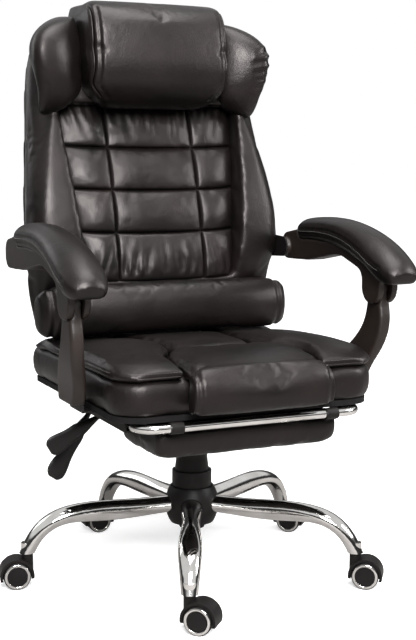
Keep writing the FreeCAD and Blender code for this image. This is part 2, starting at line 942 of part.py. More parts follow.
def headrest_section(share, narrower, front, edge):
    z = headrest_bottom + (headrest_top - headrest_bottom) * share
    half = headrest_half_width - narrower
    rear = board_face(z) - 10
    return puffed([
        vec(-half, rear, z), vec(-half, front + edge, z), vec(-half + edge, front + 6, z),
        vec(half - edge, front + 6, z), vec(half, front + edge, z), vec(half, rear, z),
    ], [2, edge * 0.22, 6, edge * 0.22, 2, 0])


def headrest():
    return loft([
        headrest_section(0.0, 52.0, 200.0, 18.0), headrest_section(0.06, 22.0, 160.0, 24.0),
        headrest_section(0.22, 3.0, 134.0, 30.0), headrest_section(0.5, 0.0, 129.0, 30.0),
        headrest_section(0.8, 2.0, 140.0, 28.0), headrest_section(0.95, 5.0, 160.0, 24.0),
        headrest_section(1.0, 9.0, 196.0, 14.0),
    ])


def wing_section(z, inner, outer, tip_y, inner_y):
    rear = board_face(z) - back_side_depth(z) + 14
    return puffed([
        vec(-inner, rear, z), vec(-outer + 22, rear, z), vec(-outer + 2, tip_y + 18, z),
        vec(-outer + 16, tip_y, z), vec(-inner, inner_y, z),
    ], [0, 4, 3, 12, 0])


def wing():
    inner = headrest_half_width + soft_gap
    tip = wing_tip_x
    step = wing_tip_z - wing_bottom
    return loft([
        wing_section(wing_bottom, 180.0, tip - 30, wing_tip_y + 34, 206.0),
        wing_section(wing_bottom + 0.25 * step, 152.0, tip - 15, wing_tip_y + 14, 200.0),
        wing_section(wing_bottom + 0.55 * step, inner, tip - 8, wing_tip_y + 4, 200.0),
        wing_section(wing_tip_z, inner, tip, wing_tip_y, 206.0),
        wing_section(wing_tip_z + 38, inner, tip - 24, wing_tip_y + 22, 222.0),
        wing_section(back_top - 2, inner + 4, tip - 70, wing_tip_y + 62, 246.0),
    ])


# The board is pressed in flat facets that follow the back's lean.
def back_board():
    bottom = back_bottom + 2
    top = back_top - back_board_inset
    heights = [bottom + (top - bottom) * index / board_facets for index in range(board_facets + 1)]
    half = back_board_half_width
    face = [vec(0, board_face(z), z) for z in heights]
    rear = [vec(0, board_face(z) + back_board_thickness, z) for z in reversed(heights)]
    side = Part.makePolygon(face + rear + face[:1])
    board = moved(extruded(side, X * (2 * half)), X * -half)
    taper = 20.0
    outline = extruded(rounded_outline([
        (-half, bottom - 1, 0), (half, bottom - 1, 0), (half - taper, top, 90), (-half + taper, top, 90),
    ], lambda a, b: vec(a, 0, b)), Y * 600)
    return board.common(outline)


def back_shell_section(share, narrower):
    z = back_height(share)
    half = back_half_width - narrower - 12
    front = back_joint_line(z) + soft_gap / 2
    rear = board_face(z) + back_board_thickness + shell_depth
    return puffed([
        vec(-half, front, z), vec(half, front, z), vec(half - 4, front + 14, z),
        vec(half - 50, rear, z), vec(-half + 50, rear, z), vec(-half + 4, front + 14, z),
    ], [0, 1, 5, 6, 5, 1])


def back_shell():
    return loft([back_shell_section(station[0], station[1]) for station in back_stations])


# The straps stand behind the board. Extra thickens one for its pocket in the shell.
def back_strap(extra=0.0):
    y = recline_pivot_y
    z = recline_pivot_z
    foot_z = z + recline_slot_radius
    foot_y = board_face(foot_z) + back_board_thickness + strap_gap
    top_y = board_face(strap_height) + back_board_thickness + strap_gap
    deep = strap_thickness
    side = Part.makePolygon([
        vec(0, y - 4, z), vec(0, foot_y - extra, foot_z), vec(0, top_y - extra, strap_height + extra),
        vec(0, top_y + deep + extra, strap_height + extra), vec(0, foot_y + deep + extra, foot_z),
        vec(0, y + 10, z - 4), vec(0, y - 4, z),
    ])
    width = strap_width + 2 * extra
    return moved(extruded(side, X * width), X * (strap_centre - width / 2))


def back_bar():
    y = recline_pivot_y
    z = recline_pivot_z
    bar = rod_x(bar_radius, -bar_half_length, bar_half_length, y, z)
    bar = bar.fuse([back_strap(), mirrored(back_strap())])
    return bar.cut(rod_x(shaft_radius + running_clearance, -bar_half_length - 1, bar_half_length + 1, y, z))


# Room at the foot of the back for the bar and the two recline plates over the whole travel.
def recline_room():
    end = bar_half_length + side_gap + recline_plate + shaft_nut + 3
    return rod_x(recline_slot_radius, -end, end, recline_pivot_y, recline_pivot_z)


def arm_hinge():
    y = arm_hinge_y
    z = arm_hinge_z
    plate = extruded(rounded_outline([
        (y - 20, z - 20, 16), (y + 95, z - 26, 8), (y + 95, z + 26, 8), (y - 20, z + 20, 16),
    ], in_yz(arm_hinge_x)), X * arm_hinge_plate)
    stud_end = arm_centre_x + arm_frame_width / 2 - 6
    return plate.fuse(rod_x(stud_radius, arm_hinge_x, stud_end, y, z)).removeSplitter()


def save_back():
    bar = back_bar()
    room = recline_room()
    whole_board = back_board()
    board = largest(whole_board.cut(room))
    panel = quilted_panel()
    pillow = lumbar_pillow()
    hinges = both_sides(arm_hinge())
    cushion = loft([back_cushion_section(*station) for station in back_stations])
    cushion = largest(cushion.cut(whole_board).cut(room).cut(panel_recess()).cut(pillow).cut(hinges))
    pocket = back_strap(strap_gap)
    shell = largest(back_shell().cut(whole_board).cut(room).cut(pocket).cut(mirrored(pocket)))
    rest = largest(headrest().cut(cushion).cut(panel))
    side_wing = largest(wing().cut(cushion).cut(rest).cut(panel))
    save(bar, "back_bar")
    save(board, "back_board")
    save(shell, "back_shell")
    save(cushion, "back_cushion")
    save(panel, "quilted_panel")
    save(pillow, "lumbar_pillow")
    save(rest, "headrest")
    save_pair(side_wing, "wing")
    save(hinges, "arm_hinges")


# Arms, modelled on the right and mirrored to the left

# The arm pad's stations from the rear: depth, height of its middle, half thickness, half width.
arm_pad_stations = (
    (95.0, 664.0, 8.0, 16.0), (87.0, 667.0, 16.0, 23.0), (58.0, 671.0, 21.0, 27.0),
    (-5.0, 673.0, 23.0, 30.0), (-80.0, 669.0, 24.5, 34.0), (-145.0, 656.0, 26.0, 37.0),
    (-200.0, 637.0, 27.0, 39.0),
    (-247.0, 613.0, 26.0, 38.0), (-274.0, 598.0, 19.0, 32.0), (-284.0, 592.0, 10.0, 24.0),
)


def arm_pad():
    points = [vec(arm_centre_x, y, z) for y, z, thick, wide in arm_pad_stations]
    wires = []
    for (point, _, upward), (y, z, thick, wide) in zip(path_frames(points), arm_pad_stations):
        lift = upward * (-1 if upward.z < 0 else 1)
        low = point - lift * thick
        wires.append(puffed([
            low - X * (wide * 0.86), low + X * (wide * 0.86),
            point + X * wide + lift * (thick * 0.3), point - X * wide + lift * (thick * 0.3),
        ], [0.5, thick * 0.2, thick * 0.7, thick * 0.2]))
    return loft(wires)


def arm_frame_side():
    front_y = arm_front_y
    front_z = arm_front_z
    rear_y = arm_hinge_y
    rear_z = arm_hinge_z
    radius = arm_block_radius
    return rounded_outline([
        (rear_y + arm_rear_radius, rear_z + arm_rear_radius, arm_rear_radius - 1),
        (rear_y + arm_rear_radius, rear_z - arm_rear_radius, arm_rear_radius - 1),
        (50.0, 606.0, 60.0), (-75.0, 627.0, 90.0), (front_y + radius, 600.0, 26.0),
        (front_y + radius, front_z - radius, radius - 1), (front_y - radius, front_z - radius, radius - 1),
        (front_y - radius, 588.0, 10.0), (-266.0, 588.0, 6.0), (-252.0, 614.0, 12.0),
        (-180.0, 655.0, 60.0), (-50.0, 676.0, 80.0), (60.0, 674.0, 40.0),
    ], in_yz(arm_centre_x - arm_frame_width / 2))


def arm_frame(pad):
    low_x = arm_centre_x - arm_frame_width / 2
    high_x = arm_centre_x + arm_frame_width / 2
    frame = extruded(arm_frame_side(), X * arm_frame_width)
    frame = frame.cut(pad)
    boss_start = arm_hinge_x + arm_hinge_plate + side_gap
    boss = rod_x(arm_hinge_boss_radius, boss_start, low_x + 1, arm_hinge_y, arm_hinge_z)
    frame = frame.fuse(boss)
    frame = frame.cut(rod_x(stud_radius + running_clearance, 0, high_x - 5, arm_hinge_y, arm_hinge_z))
    slot_low = arm_centre_x - arm_slot_width / 2
    roof = arm_front_z + tongue_radius + 1
    slot = box(vec(slot_low, arm_front_y - 100, arm_front_z - 100),
               vec(slot_low + arm_slot_width, arm_front_y + 36, roof))
    frame = frame.cut(slot)
    pin = rod_x(arm_pin_radius, low_x, high_x, arm_front_y, arm_front_z)
    return frame.fuse(pin).removeSplitter()


# The upright's stations from the top: height, depth and X of its middle, and half its depth.
upright_stations = (
    (552.0, -191.0, 306.0, 25.0), (525.0, -190.0, 306.0, 27.0), (498.0, -185.0, 305.0, 33.0),
    (471.0, -171.0, 302.0, 40.0), (444.0, -151.0, 296.0, 47.0), (417.0, -133.0, 289.5, 49.0),
    (397.0, -124.0, 287.0, 47.0), (383.0, -120.0, 287.0, 38.0),
)


def upright_blade():
    half = upright_thickness / 2
    wires = [rounded_section(vec(x, y, z), X, Y, half, deep, 7.0) for z, y, x, deep in upright_stations]
    return loft(wires)


def foot_inner_x():
    return seat_half_width + arm_bracket_gap + arm_bracket_wall + side_gap


def arm_upright():
    y = arm_base_pivot_y
    z = arm_base_pivot_z
    outer_x = foot_centre_x + upright_thickness / 2
    boss = rod_x(foot_boss_radius, foot_inner_x(), foot_centre_x, y, z)
    body = upright_blade().fuse(boss)
    body = body.cut(rod_x(arm_block_radius + arm_block_clearance, 200, 400, arm_front_y, arm_front_z))
    low = arm_centre_x - tongue_width / 2
    tongue = rod_x(tongue_radius, low, low + tongue_width, arm_front_y, arm_front_z)
    reach = arm_block_radius + 14
    half = tongue_radius - 3
    strip = box(vec(low, arm_front_y - half, arm_front_z - reach),
                vec(low + tongue_width, arm_front_y + half, arm_front_z))
    body = body.fuse([tongue, strip])
    body = body.cut(rod_x(arm_pin_radius + open_pivot_clearance, 200, 400, arm_front_y, arm_front_z))
    return body.cut(rod_x(stud_radius + running_clearance, 200, outer_x - 4, y, z))


def save_arms():
    pad = arm_pad()
    frame = arm_frame(pad)
    upright = arm_upright()
    for name, shape in (("arm_pad", pad), ("arm_frame", frame), ("arm_upright", upright)):
        save(mirrored(shape), name + "_left")
        save(shape, name + "_right")


# Footrest

def rail_path():
    corner = rail_corner
    slant = corner * (1 - math.sqrt(0.5))
    left = -rail_x
    front = rail_front_y
    z = rail_z
    arcs = []
    for side in (-1, 1):
        start = vec(side * rail_x, front + corner, z)
        middle = vec(side * (rail_x - slant), front + slant, z)
        end = vec(side * (rail_x - corner), front, z)
        arcs.append((start, middle, end))
    (left_start, left_middle, left_end), (right_end, right_middle, right_start) = arcs
    edges = [
        Part.makeLine(vec(left, rail_rear_y, z), left_start),
        Part.Arc(left_start, left_middle, left_end).toShape(),
        Part.makeLine(left_end, right_start),
        Part.Arc(right_start, right_middle, right_end).toShape(),
        Part.makeLine(right_end, vec(-left, rail_rear_y, z)),
    ]
    return Part.Wire(edges)


def footrest_frame():
    path = rail_path()
    ring = Part.Wire([Part.makeCircle(rail_radius, vec(-rail_x, rail_rear_y, rail_z), Y)])
    return path.makePipeShell([ring], True, False)


def footrest_board():
    half = footrest_half_width - 4
    board = extruded(rounded_outline([
        (-half, footrest_front + 4, 14), (half, footrest_front + 4, 14), (half, footrest_rear - 4, 20),
        (-half, footrest_rear - 4, 20),
    ], in_xy(footrest_pad_top)), Z * footrest_board_thickness)
    for side in (-1, 1):
        middle = hinge_sleeve_x * side
        low = middle - hinge_sleeve_width / 2
        high = middle + hinge_sleeve_width / 2
        sleeve = rod_x(hinge_sleeve_radius, low, high, rail_front_y, rail_z)
        strap = box(vec(low, rail_front_y, footrest_pad_top),
                    vec(high, footrest_front + 30, footrest_board_top))
        board = board.fuse([sleeve, strap])
    bore_radius = rail_radius + running_clearance
    bar_bore = rod_x(bore_radius, -footrest_half_width, footrest_half_width, rail_front_y, rail_z)
    return board.cut(bar_bore).removeSplitter()


def footrest_section(x, draw):
    front = footrest_front + draw
    rear = footrest_rear - draw
    bottom = footrest_bottom + draw * 0.8
    top = footrest_pad_top
    return puffed([
        vec(x, front + 3, top), vec(x, front + 4, bottom + 10), vec(x, front + 16, bottom + 3),
        vec(x, rear - 16, bottom + 3), vec(x, rear - 4, bottom + 10), vec(x, rear - 3, top),
    ], [4, 3, 3, 3, 4, 0])


def footrest_pad():
    stations = ((1.0, 9.0), (0.94, 3.0), (0.8, 0.5), (0.6, 0.0), (0.3, 0.0))
    wires = [footrest_section(-footrest_half_width * share, draw) for share, draw in stations]
    wires.append(footrest_section(0.0, 0.0))
    wires.extend(footrest_section(footrest_half_width * share, draw) for share, draw in reversed(stations))
    return loft(wires)


def save_footrest():
    save(footrest_frame(), "footrest_frame")
    save(footrest_board(), "footrest_board")
    save(footrest_pad(), "footrest_pad")


# Levers

# A flat paddle that hangs from its rod's end towards a tip.
def paddle(root, tip):
    along = (tip - root).normalize()
    face = Y
    across = along.cross(face)
    shares = (
        (0.0, 0.36, 1.0), (0.12, 0.5, 1.0), (0.45, 0.8, 0.9), (0.8, 1.0, 0.8), (0.96, 0.86, 0.6),
        (1.0, 0.5, 0.3),
    )
    wires = []
    for share, wide, thick in shares:
        centre = root + (tip - root) * share
        wires.append(oval(centre, across, face, paddle_width / 2 * wide, paddle_thickness / 2 * thick))
    return loft(wires)


def height_lever():
    y = height_lever_y
    eye_half = lever_rod_radius + 1 - 0.3
    eye = rod_y(lever_eye_radius, y - eye_half, y + eye_half, lever_eye_x(), lever_z)
    rod = rod_x(lever_rod_radius, lever_rod_end, lever_eye_x(), y, lever_z)
    root = vec(lever_rod_end + 6, y, lever_z)
    tip = vec(lever_rod_end - 94, y - 6, lever_z - 56)
    lever = eye.fuse([rod, paddle(root, tip)])
    bore_half = eye_half + 1
    bore = rod_y(lever_pin_radius + running_clearance, y - bore_half, y + bore_half, lever_eye_x(), lever_z)
    return lever.cut(bore)


def recline_lever():
    y = recline_lever_y
    rod = rod_x(lever_rod_radius, lever_rod_end, -housing_half_width + 30, y, lever_z)
    root = vec(lever_rod_end + 4, y, lever_z)
    tip = vec(lever_rod_end - 78, y - 10, lever_z - 118)
    return rod.fuse(paddle(root, tip))


def save_levers():
    save(height_lever(), "height_lever")
    save(recline_lever(), "recline_lever")


save_base()
save_lift()
save_casters()
save_seat()
save_back()
save_arms()
save_footrest()
save_levers()
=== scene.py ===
# Reclining office chair with footrest: leather, quilting, seams, chrome and the photograph's view.
# Sizes in the dictionaries are millimetres unless a note says otherwise.
import json
import math

import bpy
import numpy as np
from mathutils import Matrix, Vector, noise
from mathutils.bvhtree import BVHTree


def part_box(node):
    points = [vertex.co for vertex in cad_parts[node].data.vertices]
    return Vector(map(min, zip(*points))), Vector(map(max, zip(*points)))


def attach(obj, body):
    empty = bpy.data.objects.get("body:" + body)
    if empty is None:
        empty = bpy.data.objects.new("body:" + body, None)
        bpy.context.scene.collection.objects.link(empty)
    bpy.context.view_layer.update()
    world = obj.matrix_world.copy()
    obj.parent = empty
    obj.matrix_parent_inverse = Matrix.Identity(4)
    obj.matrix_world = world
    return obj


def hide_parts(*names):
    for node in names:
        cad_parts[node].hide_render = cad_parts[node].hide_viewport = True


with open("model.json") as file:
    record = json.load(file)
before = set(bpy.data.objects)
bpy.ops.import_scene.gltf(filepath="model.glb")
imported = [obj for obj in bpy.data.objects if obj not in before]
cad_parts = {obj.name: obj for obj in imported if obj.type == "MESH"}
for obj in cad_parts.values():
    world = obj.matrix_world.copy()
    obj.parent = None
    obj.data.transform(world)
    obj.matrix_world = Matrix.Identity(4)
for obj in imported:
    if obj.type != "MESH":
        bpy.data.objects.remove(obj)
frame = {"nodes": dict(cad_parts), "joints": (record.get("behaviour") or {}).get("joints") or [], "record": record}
nodes = frame["nodes"]
scene = bpy.context.scene
mm = 0.001
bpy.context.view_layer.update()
bothSides = (("left", -1), ("right", 1))     # names of the two sides, and the sign of x there
print("stage: frame loaded,", len(nodes), "CAD nodes")


# Materials

def linearColour(hexText):
    channels = [int(hexText[i:i + 2], 16) / 255 for i in (1, 3, 5)]
    linear = [c / 12.92 if c <= 0.04045 else ((c + 0.055) / 1.055) ** 2.4 for c in channels]
    return (*linear, 1.0)


# A level from 0 to 1 as a colour ramp holds it.
def grey(level):
    return (level, level, level, 1.0)


# Adds one node. Inputs are values, or output sockets to link from, and stops are those of a colour ramp.
def addNode(tree, kind, inputs=None, stops=(), **settings):
    node = tree.nodes.new(kind)
    for name, value in settings.items():
        setattr(node, name, value)
    for key, value in (inputs or {}).items():
        if isinstance(value, bpy.types.NodeSocket):
            tree.links.new(value, node.inputs[key])
        else:
            node.inputs[key].default_value = value
    if stops:
        elements = node.color_ramp.elements
        while len(elements) < len(stops):
            elements.new(0.5)
        for element, (position, colour) in zip(elements, stops):
            element.position = position
            element.color = colour
    return node


# A new material, its node tree, and the place on the object that its patterns are fixed to.
def newMaterial(name):
    material = bpy.data.materials.new(name)
    material.use_nodes = True
    tree = material.node_tree
    tree.nodes.clear()
    spot = addNode(tree, "ShaderNodeTexCoord").outputs["Object"]
    return material, tree, spot


# Real size in millimetres to the scale of a pattern that repeats once per metre.
def scaleFor(sizeMm):
    return 1000.0 / sizeMm


leather = {
    "colour": "#080606", "worn": "#120d0c", "tint": "#fff7f5", "mottleMm": 90.0,
    "glossy": 0.34, "dull": 0.43, "shine": 0.3, "ior": 1.5,
    "grainMm": 1.5,      # real pebble about 0.8 mm, drawn coarser so that it shows
    "grainStrength": 0.32, "grainHeight": 0.6,
    "wrinkleMm": 34.0, "wrinkleTwist": 0.6, "wrinkleStrength": 0.2, "wrinkleHeight": 4.0,
}


# Polyurethane-coated split leather, embossed with a fine pebble: dark brown-black with a soft grey sheen.
def coatedLeather():
    material, tree, spot = newMaterial("coatedLeather")
    mottle = addNode(tree, "ShaderNodeTexNoise", {
        "Vector": spot, "Scale": scaleFor(leather["mottleMm"]), "Detail": 4.0})
    tone = addNode(tree, "ShaderNodeValToRGB", {"Fac": mottle.outputs["Fac"]}, stops=(
        (0.35, linearColour(leather["colour"])), (0.75, linearColour(leather["worn"]))))
    gloss = addNode(tree, "ShaderNodeValToRGB", {"Fac": mottle.outputs["Fac"]}, stops=(
        (0.3, grey(leather["glossy"])), (0.7, grey(leather["dull"]))))
    pebble = addNode(tree, "ShaderNodeTexVoronoi", {
        "Vector": spot, "Scale": scaleFor(leather["grainMm"])}, feature="SMOOTH_F1")
    grain = addNode(tree, "ShaderNodeBump", {
        "Height": pebble.outputs["Distance"], "Strength": leather["grainStrength"],
        "Distance": leather["grainHeight"] * mm})
    drawn = addNode(tree, "ShaderNodeTexNoise", {
        "Vector": spot, "Scale": scaleFor(leather["wrinkleMm"]), "Detail": 3.0,
        "Distortion": leather["wrinkleTwist"]})
    wrinkle = addNode(tree, "ShaderNodeBump", {
        "Height": drawn.outputs["Fac"], "Strength": leather["wrinkleStrength"],
        "Distance": leather["wrinkleHeight"] * mm, "Normal": grain.outputs["Normal"]})
    shader = addNode(tree, "ShaderNodeBsdfPrincipled", {
        "Base Color": tone.outputs["Color"], "Roughness": gloss.outputs["Color"], "IOR": leather["ior"],
        "Specular IOR Level": leather["shine"], "Specular Tint": linearColour(leather["tint"]),
        "Normal": wrinkle.outputs["Normal"]})
    addNode(tree, "ShaderNodeOutputMaterial", {"Surface": shader.outputs["BSDF"]})
    return material


armPlastic = {
    "colour": "#17110f", "edge": "#241c18", "cloudMm": 60, "roughness": 0.45, "shine": 0.34, "ior": 1.52,
    "stippleMm": 1.1,    # real stipple about 0.4 mm, drawn coarser so that it shows
    "stippleStrength": 0.25, "stippleHeight": 0.4,
}


# Injection-moulded nylon with a spark-eroded stipple: satin brown-black in soft clouds of two tones.
def mouldedNylon():
    material, tree, spot = newMaterial("mouldedNylon")
    cloud = addNode(tree, "ShaderNodeTexNoise", {
        "Vector": spot, "Scale": scaleFor(armPlastic["cloudMm"]), "Detail": 3.0})
    tone = addNode(tree, "ShaderNodeValToRGB", {"Fac": cloud.outputs["Fac"]}, stops=(
        (0.3, linearColour(armPlastic["colour"])), (0.8, linearColour(armPlastic["edge"]))))
    stipple = addNode(tree, "ShaderNodeTexNoise", {
        "Vector": spot, "Scale": scaleFor(armPlastic["stippleMm"]), "Detail": 2.0})
    bump = addNode(tree, "ShaderNodeBump", {
        "Height": stipple.outputs["Fac"], "Strength": armPlastic["stippleStrength"],
        "Distance": armPlastic["stippleHeight"] * mm})
    shader = addNode(tree, "ShaderNodeBsdfPrincipled", {
        "Base Color": tone.outputs["Color"], "Roughness": armPlastic["roughness"],
        "IOR": armPlastic["ior"], "Specular IOR Level": armPlastic["shine"],
        "Normal": bump.outputs["Normal"]})
    addNode(tree, "ShaderNodeOutputMaterial", {"Surface": shader.outputs["BSDF"]})
    return material


plating = {
    "colour": "#e2e1df", "haze": "#cfcdca", "bright": 0.05, "hazy": 0.11,
    "rippleMm": 42.0, "rippleStrength": 0.05, "rippleHeight": 2.0,
}


# Chromium plate on bent steel tube: mirror bright, with the faint ripple of a polished bend.
def chromePlate():
    material, tree, spot = newMaterial("chromePlate")
    haze = addNode(tree, "ShaderNodeTexNoise", {
        "Vector": spot, "Scale": scaleFor(plating["rippleMm"]), "Detail": 2.0})
    tone = addNode(tree, "ShaderNodeValToRGB", {"Fac": haze.outputs["Fac"]}, stops=(
        (0.3, linearColour(plating["haze"])), (0.7, linearColour(plating["colour"]))))
    gloss = addNode(tree, "ShaderNodeValToRGB", {"Fac": haze.outputs["Fac"]}, stops=(
        (0.2, grey(plating["bright"])), (0.8, grey(plating["hazy"]))))
    ripple = addNode(tree, "ShaderNodeBump", {
        "Height": haze.outputs["Fac"], "Strength": plating["rippleStrength"],
        "Distance": plating["rippleHeight"] * mm})
    shader = addNode(tree, "ShaderNodeBsdfPrincipled", {
        "Base Color": tone.outputs["Color"], "Metallic": 1.0, "Roughness": gloss.outputs["Color"],
        "Normal": ripple.outputs["Normal"]})
    addNode(tree, "ShaderNodeOutputMaterial", {"Surface": shader.outputs["BSDF"]})
    return material


# The black finishes: colour, tone where it is worn, roughness, size of the texture and strength of it.
# Polypropylene comes from the mould finely matt, powder coat has an orange-peel skin, and nylon is
# smoother with a faint shine. The dust cover is felted polyester fibre and doesn't shine.
blackFinishes = {
    "mouldedPolypropylene": ("#0b0909", "#151211", 0.45, 1.0, 0.25),
    "powderCoatedSteel": ("#0d0b0b", "#171413", 0.5, 1.6, 0.35),
    "mouldedLeverNylon": ("#0e0d0d", "#181616", 0.34, 1.4, 0.2),
    "castWheelNylon": ("#0d0c0c", "#171515", 0.4, 1.2, 0.2),
    "nonWovenDustCover": ("#0a0909", "#141212", 0.85, 0.9, 0.5),
}
blackSkin = {"wearMm": 45, "textureHeight": 0.4, "shine": 0.2, "ior": 1.5}


def blackFinish(name):
    colour, worn, roughness, textureMm, strength = blackFinishes[name]
    material, tree, spot = newMaterial(name)
    skin = addNode(tree, "ShaderNodeTexNoise", {
        "Vector": spot, "Scale": scaleFor(textureMm), "Detail": 2.0})
    wear = addNode(tree, "ShaderNodeTexNoise", {
        "Vector": spot, "Scale": scaleFor(blackSkin["wearMm"]), "Detail": 4.0})
    tone = addNode(tree, "ShaderNodeValToRGB", {"Fac": wear.outputs["Fac"]}, stops=(
        (0.35, linearColour(colour)), (0.8, linearColour(worn))))
    bump = addNode(tree, "ShaderNodeBump", {
        "Height": skin.outputs["Fac"], "Strength": strength, "Distance": blackSkin["textureHeight"] * mm})
    shader = addNode(tree, "ShaderNodeBsdfPrincipled", {
        "Base Color": tone.outputs["Color"], "Roughness": roughness, "IOR": blackSkin["ior"],
        "Specular IOR Level": blackSkin["shine"], "Normal": bump.outputs["Normal"]})
    addNode(tree, "ShaderNodeOutputMaterial", {"Surface": shader.outputs["BSDF"]})
    return material


turned = {
    "groove": "#8b8a88", "crest": "#b3b2b0", "roughness": 0.32,
    "markMm": 6, "markTwist": 1.5, "markStrength": 0.12, "markHeight": 0.3,
}


# Turned bright steel: fine rings of tool marks round the piece.
def turnedSteel():
    material, tree, spot = newMaterial("turnedSteel")
    marks = addNode(tree, "ShaderNodeTexWave", {
        "Vector": spot, "Scale": scaleFor(turned["markMm"]), "Distortion": turned["markTwist"],
        "Detail": 2.0}, bands_direction="Z")
    tone = addNode(tree, "ShaderNodeValToRGB", {"Fac": marks.outputs["Fac"]}, stops=(
        (0.2, linearColour(turned["groove"])), (0.8, linearColour(turned["crest"]))))
    bump = addNode(tree, "ShaderNodeBump", {
        "Height": marks.outputs["Fac"], "Strength": turned["markStrength"],
        "Distance": turned["markHeight"] * mm})
    shader = addNode(tree, "ShaderNodeBsdfPrincipled", {
        "Base Color": tone.outputs["Color"], "Metallic": 1.0, "Roughness": turned["roughness"],
        "Normal": bump.outputs["Normal"]})
    addNode(tree, "ShaderNodeOutputMaterial", {"Surface": shader.outputs["BSDF"]})
    return material


plywood = {
    "summer": "#6d543a", "spring": "#a08260", "roughness": 0.6, "grainMm": 9,
    "alongGrain": 0.12,  # share of the pattern's scale along the grain, which draws it out
    "grainStrength": 0.2, "grainHeight": 0.5,
}


# Birch plywood, rotary-cut: pale brown with long soft grain.
def birchPlywood():
    material, tree, spot = newMaterial("birchPlywood")
    stretch = addNode(tree, "ShaderNodeMapping", {
        "Vector": spot, "Scale": (plywood["alongGrain"], 1.0, 1.0)})
    grain = addNode(tree, "ShaderNodeTexNoise", {
        "Vector": stretch.outputs["Vector"], "Scale": scaleFor(plywood["grainMm"]), "Detail": 6.0})
    tone = addNode(tree, "ShaderNodeValToRGB", {"Fac": grain.outputs["Fac"]}, stops=(
        (0.3, linearColour(plywood["summer"])), (0.7, linearColour(plywood["spring"]))))
    bump = addNode(tree, "ShaderNodeBump", {
        "Height": grain.outputs["Fac"], "Strength": plywood["grainStrength"],
        "Distance": plywood["grainHeight"] * mm})
    shader = addNode(tree, "ShaderNodeBsdfPrincipled", {
        "Base Color": tone.outputs["Color"], "Roughness": plywood["roughness"],
        "Normal": bump.outputs["Normal"]})
    addNode(tree, "ShaderNodeOutputMaterial", {"Surface": shader.outputs["BSDF"]})
    return material


thread = {"dark": "#1c1715", "light": "#332b28", "twistMm": 1.2, "roughness": 0.55, "sheen": 0.3}


# Bonded polyester thread, twisted from three strands: a shade lighter than the leather, hardly shiny.
def sewingThread():
    material, tree, spot = newMaterial("sewingThread")
    twist = addNode(tree, "ShaderNodeTexNoise", {
        "Vector": spot, "Scale": scaleFor(thread["twistMm"]), "Detail": 1.0})
    tone = addNode(tree, "ShaderNodeValToRGB", {"Fac": twist.outputs["Fac"]}, stops=(
        (0.3, linearColour(thread["dark"])), (0.7, linearColour(thread["light"]))))
    shader = addNode(tree, "ShaderNodeBsdfPrincipled", {
        "Base Color": tone.outputs["Color"], "Roughness": thread["roughness"],
        "Sheen Weight": thread["sheen"]})
    addNode(tree, "ShaderNodeOutputMaterial", {"Surface": shader.outputs["BSDF"]})
    return material


finishes = {
    "leather": coatedLeather(),
    "arm_plastic": mouldedNylon(),
    "chrome": chromePlate(),
    "black_plastic": blackFinish("mouldedPolypropylene"),
    "black_metal": blackFinish("powderCoatedSteel"),
    "steel": turnedSteel(),
    "board": birchPlywood(),
    "lever_plastic": blackFinish("mouldedLeverNylon"),
    "wheel_plastic": blackFinish("castWheelNylon"),
}
threadFinish = sewingThread()
dustCover = blackFinish("nonWovenDustCover")     # stapled round the seat's board
slotOfNode = {entry["node"]: entry["material_slot"] for entry in frame["record"]["subparts"]}
for nodeName, nodeObject in nodes.items():
    finish = dustCover if nodeName == "seat_board" else finishes[slotOfNode[nodeName]]
    nodeObject.data.materials.clear()
    nodeObject.data.materials.append(finish)
print("stage: materials made")


# Mesh helpers

def linkObject(name, data):
    obj = bpy.data.objects.new(name, data)
    scene.collection.objects.link(obj)
    return obj


def meshFrom(name, points, faces):
    mesh = bpy.data.meshes.new(name)
    mesh.from_pydata([tuple(p) for p in points], [], faces)
    mesh.validate()
    mesh.update()
    return linkObject(name, mesh)


def coordinates(obj):
    flat = np.empty(len(obj.data.vertices) * 3)
    obj.data.vertices.foreach_get("co", flat)
    return flat.reshape(-1, 3)


def setCoordinates(obj, points):
    obj.data.vertices.foreach_set("co", points.reshape(-1))
    obj.data.update()


def normals(obj):
    flat = np.empty(len(obj.data.vertices) * 3)
    obj.data.vertices.foreach_get("normal", flat)
    return flat.reshape(-1, 3)


# Puts the evaluated mesh in the place of the object's own and drops its modifiers.
def bakeModifiers(obj):
    graph = bpy.context.evaluated_depsgraph_get()
    mesh = bpy.data.meshes.new_from_object(obj.evaluated_get(graph))
    obj.modifiers.clear()
    obj.data = mesh


def addModifier(obj, kind, **settings):
    modifier = obj.modifiers.new(kind.lower(), kind)
    for name, value in settings.items():
        setattr(modifier, name, value)


def shadeSmooth(obj):
    obj.data.polygons.foreach_set("use_smooth", [True] * len(obj.data.polygons))
    obj.data.update()


# How the covers stretch as the foam fills them, in the cloth simulation's own units.
cover = {"frames": 20, "quality": 5, "mass": 0.3, "stretch": 12, "bending": 0.4}


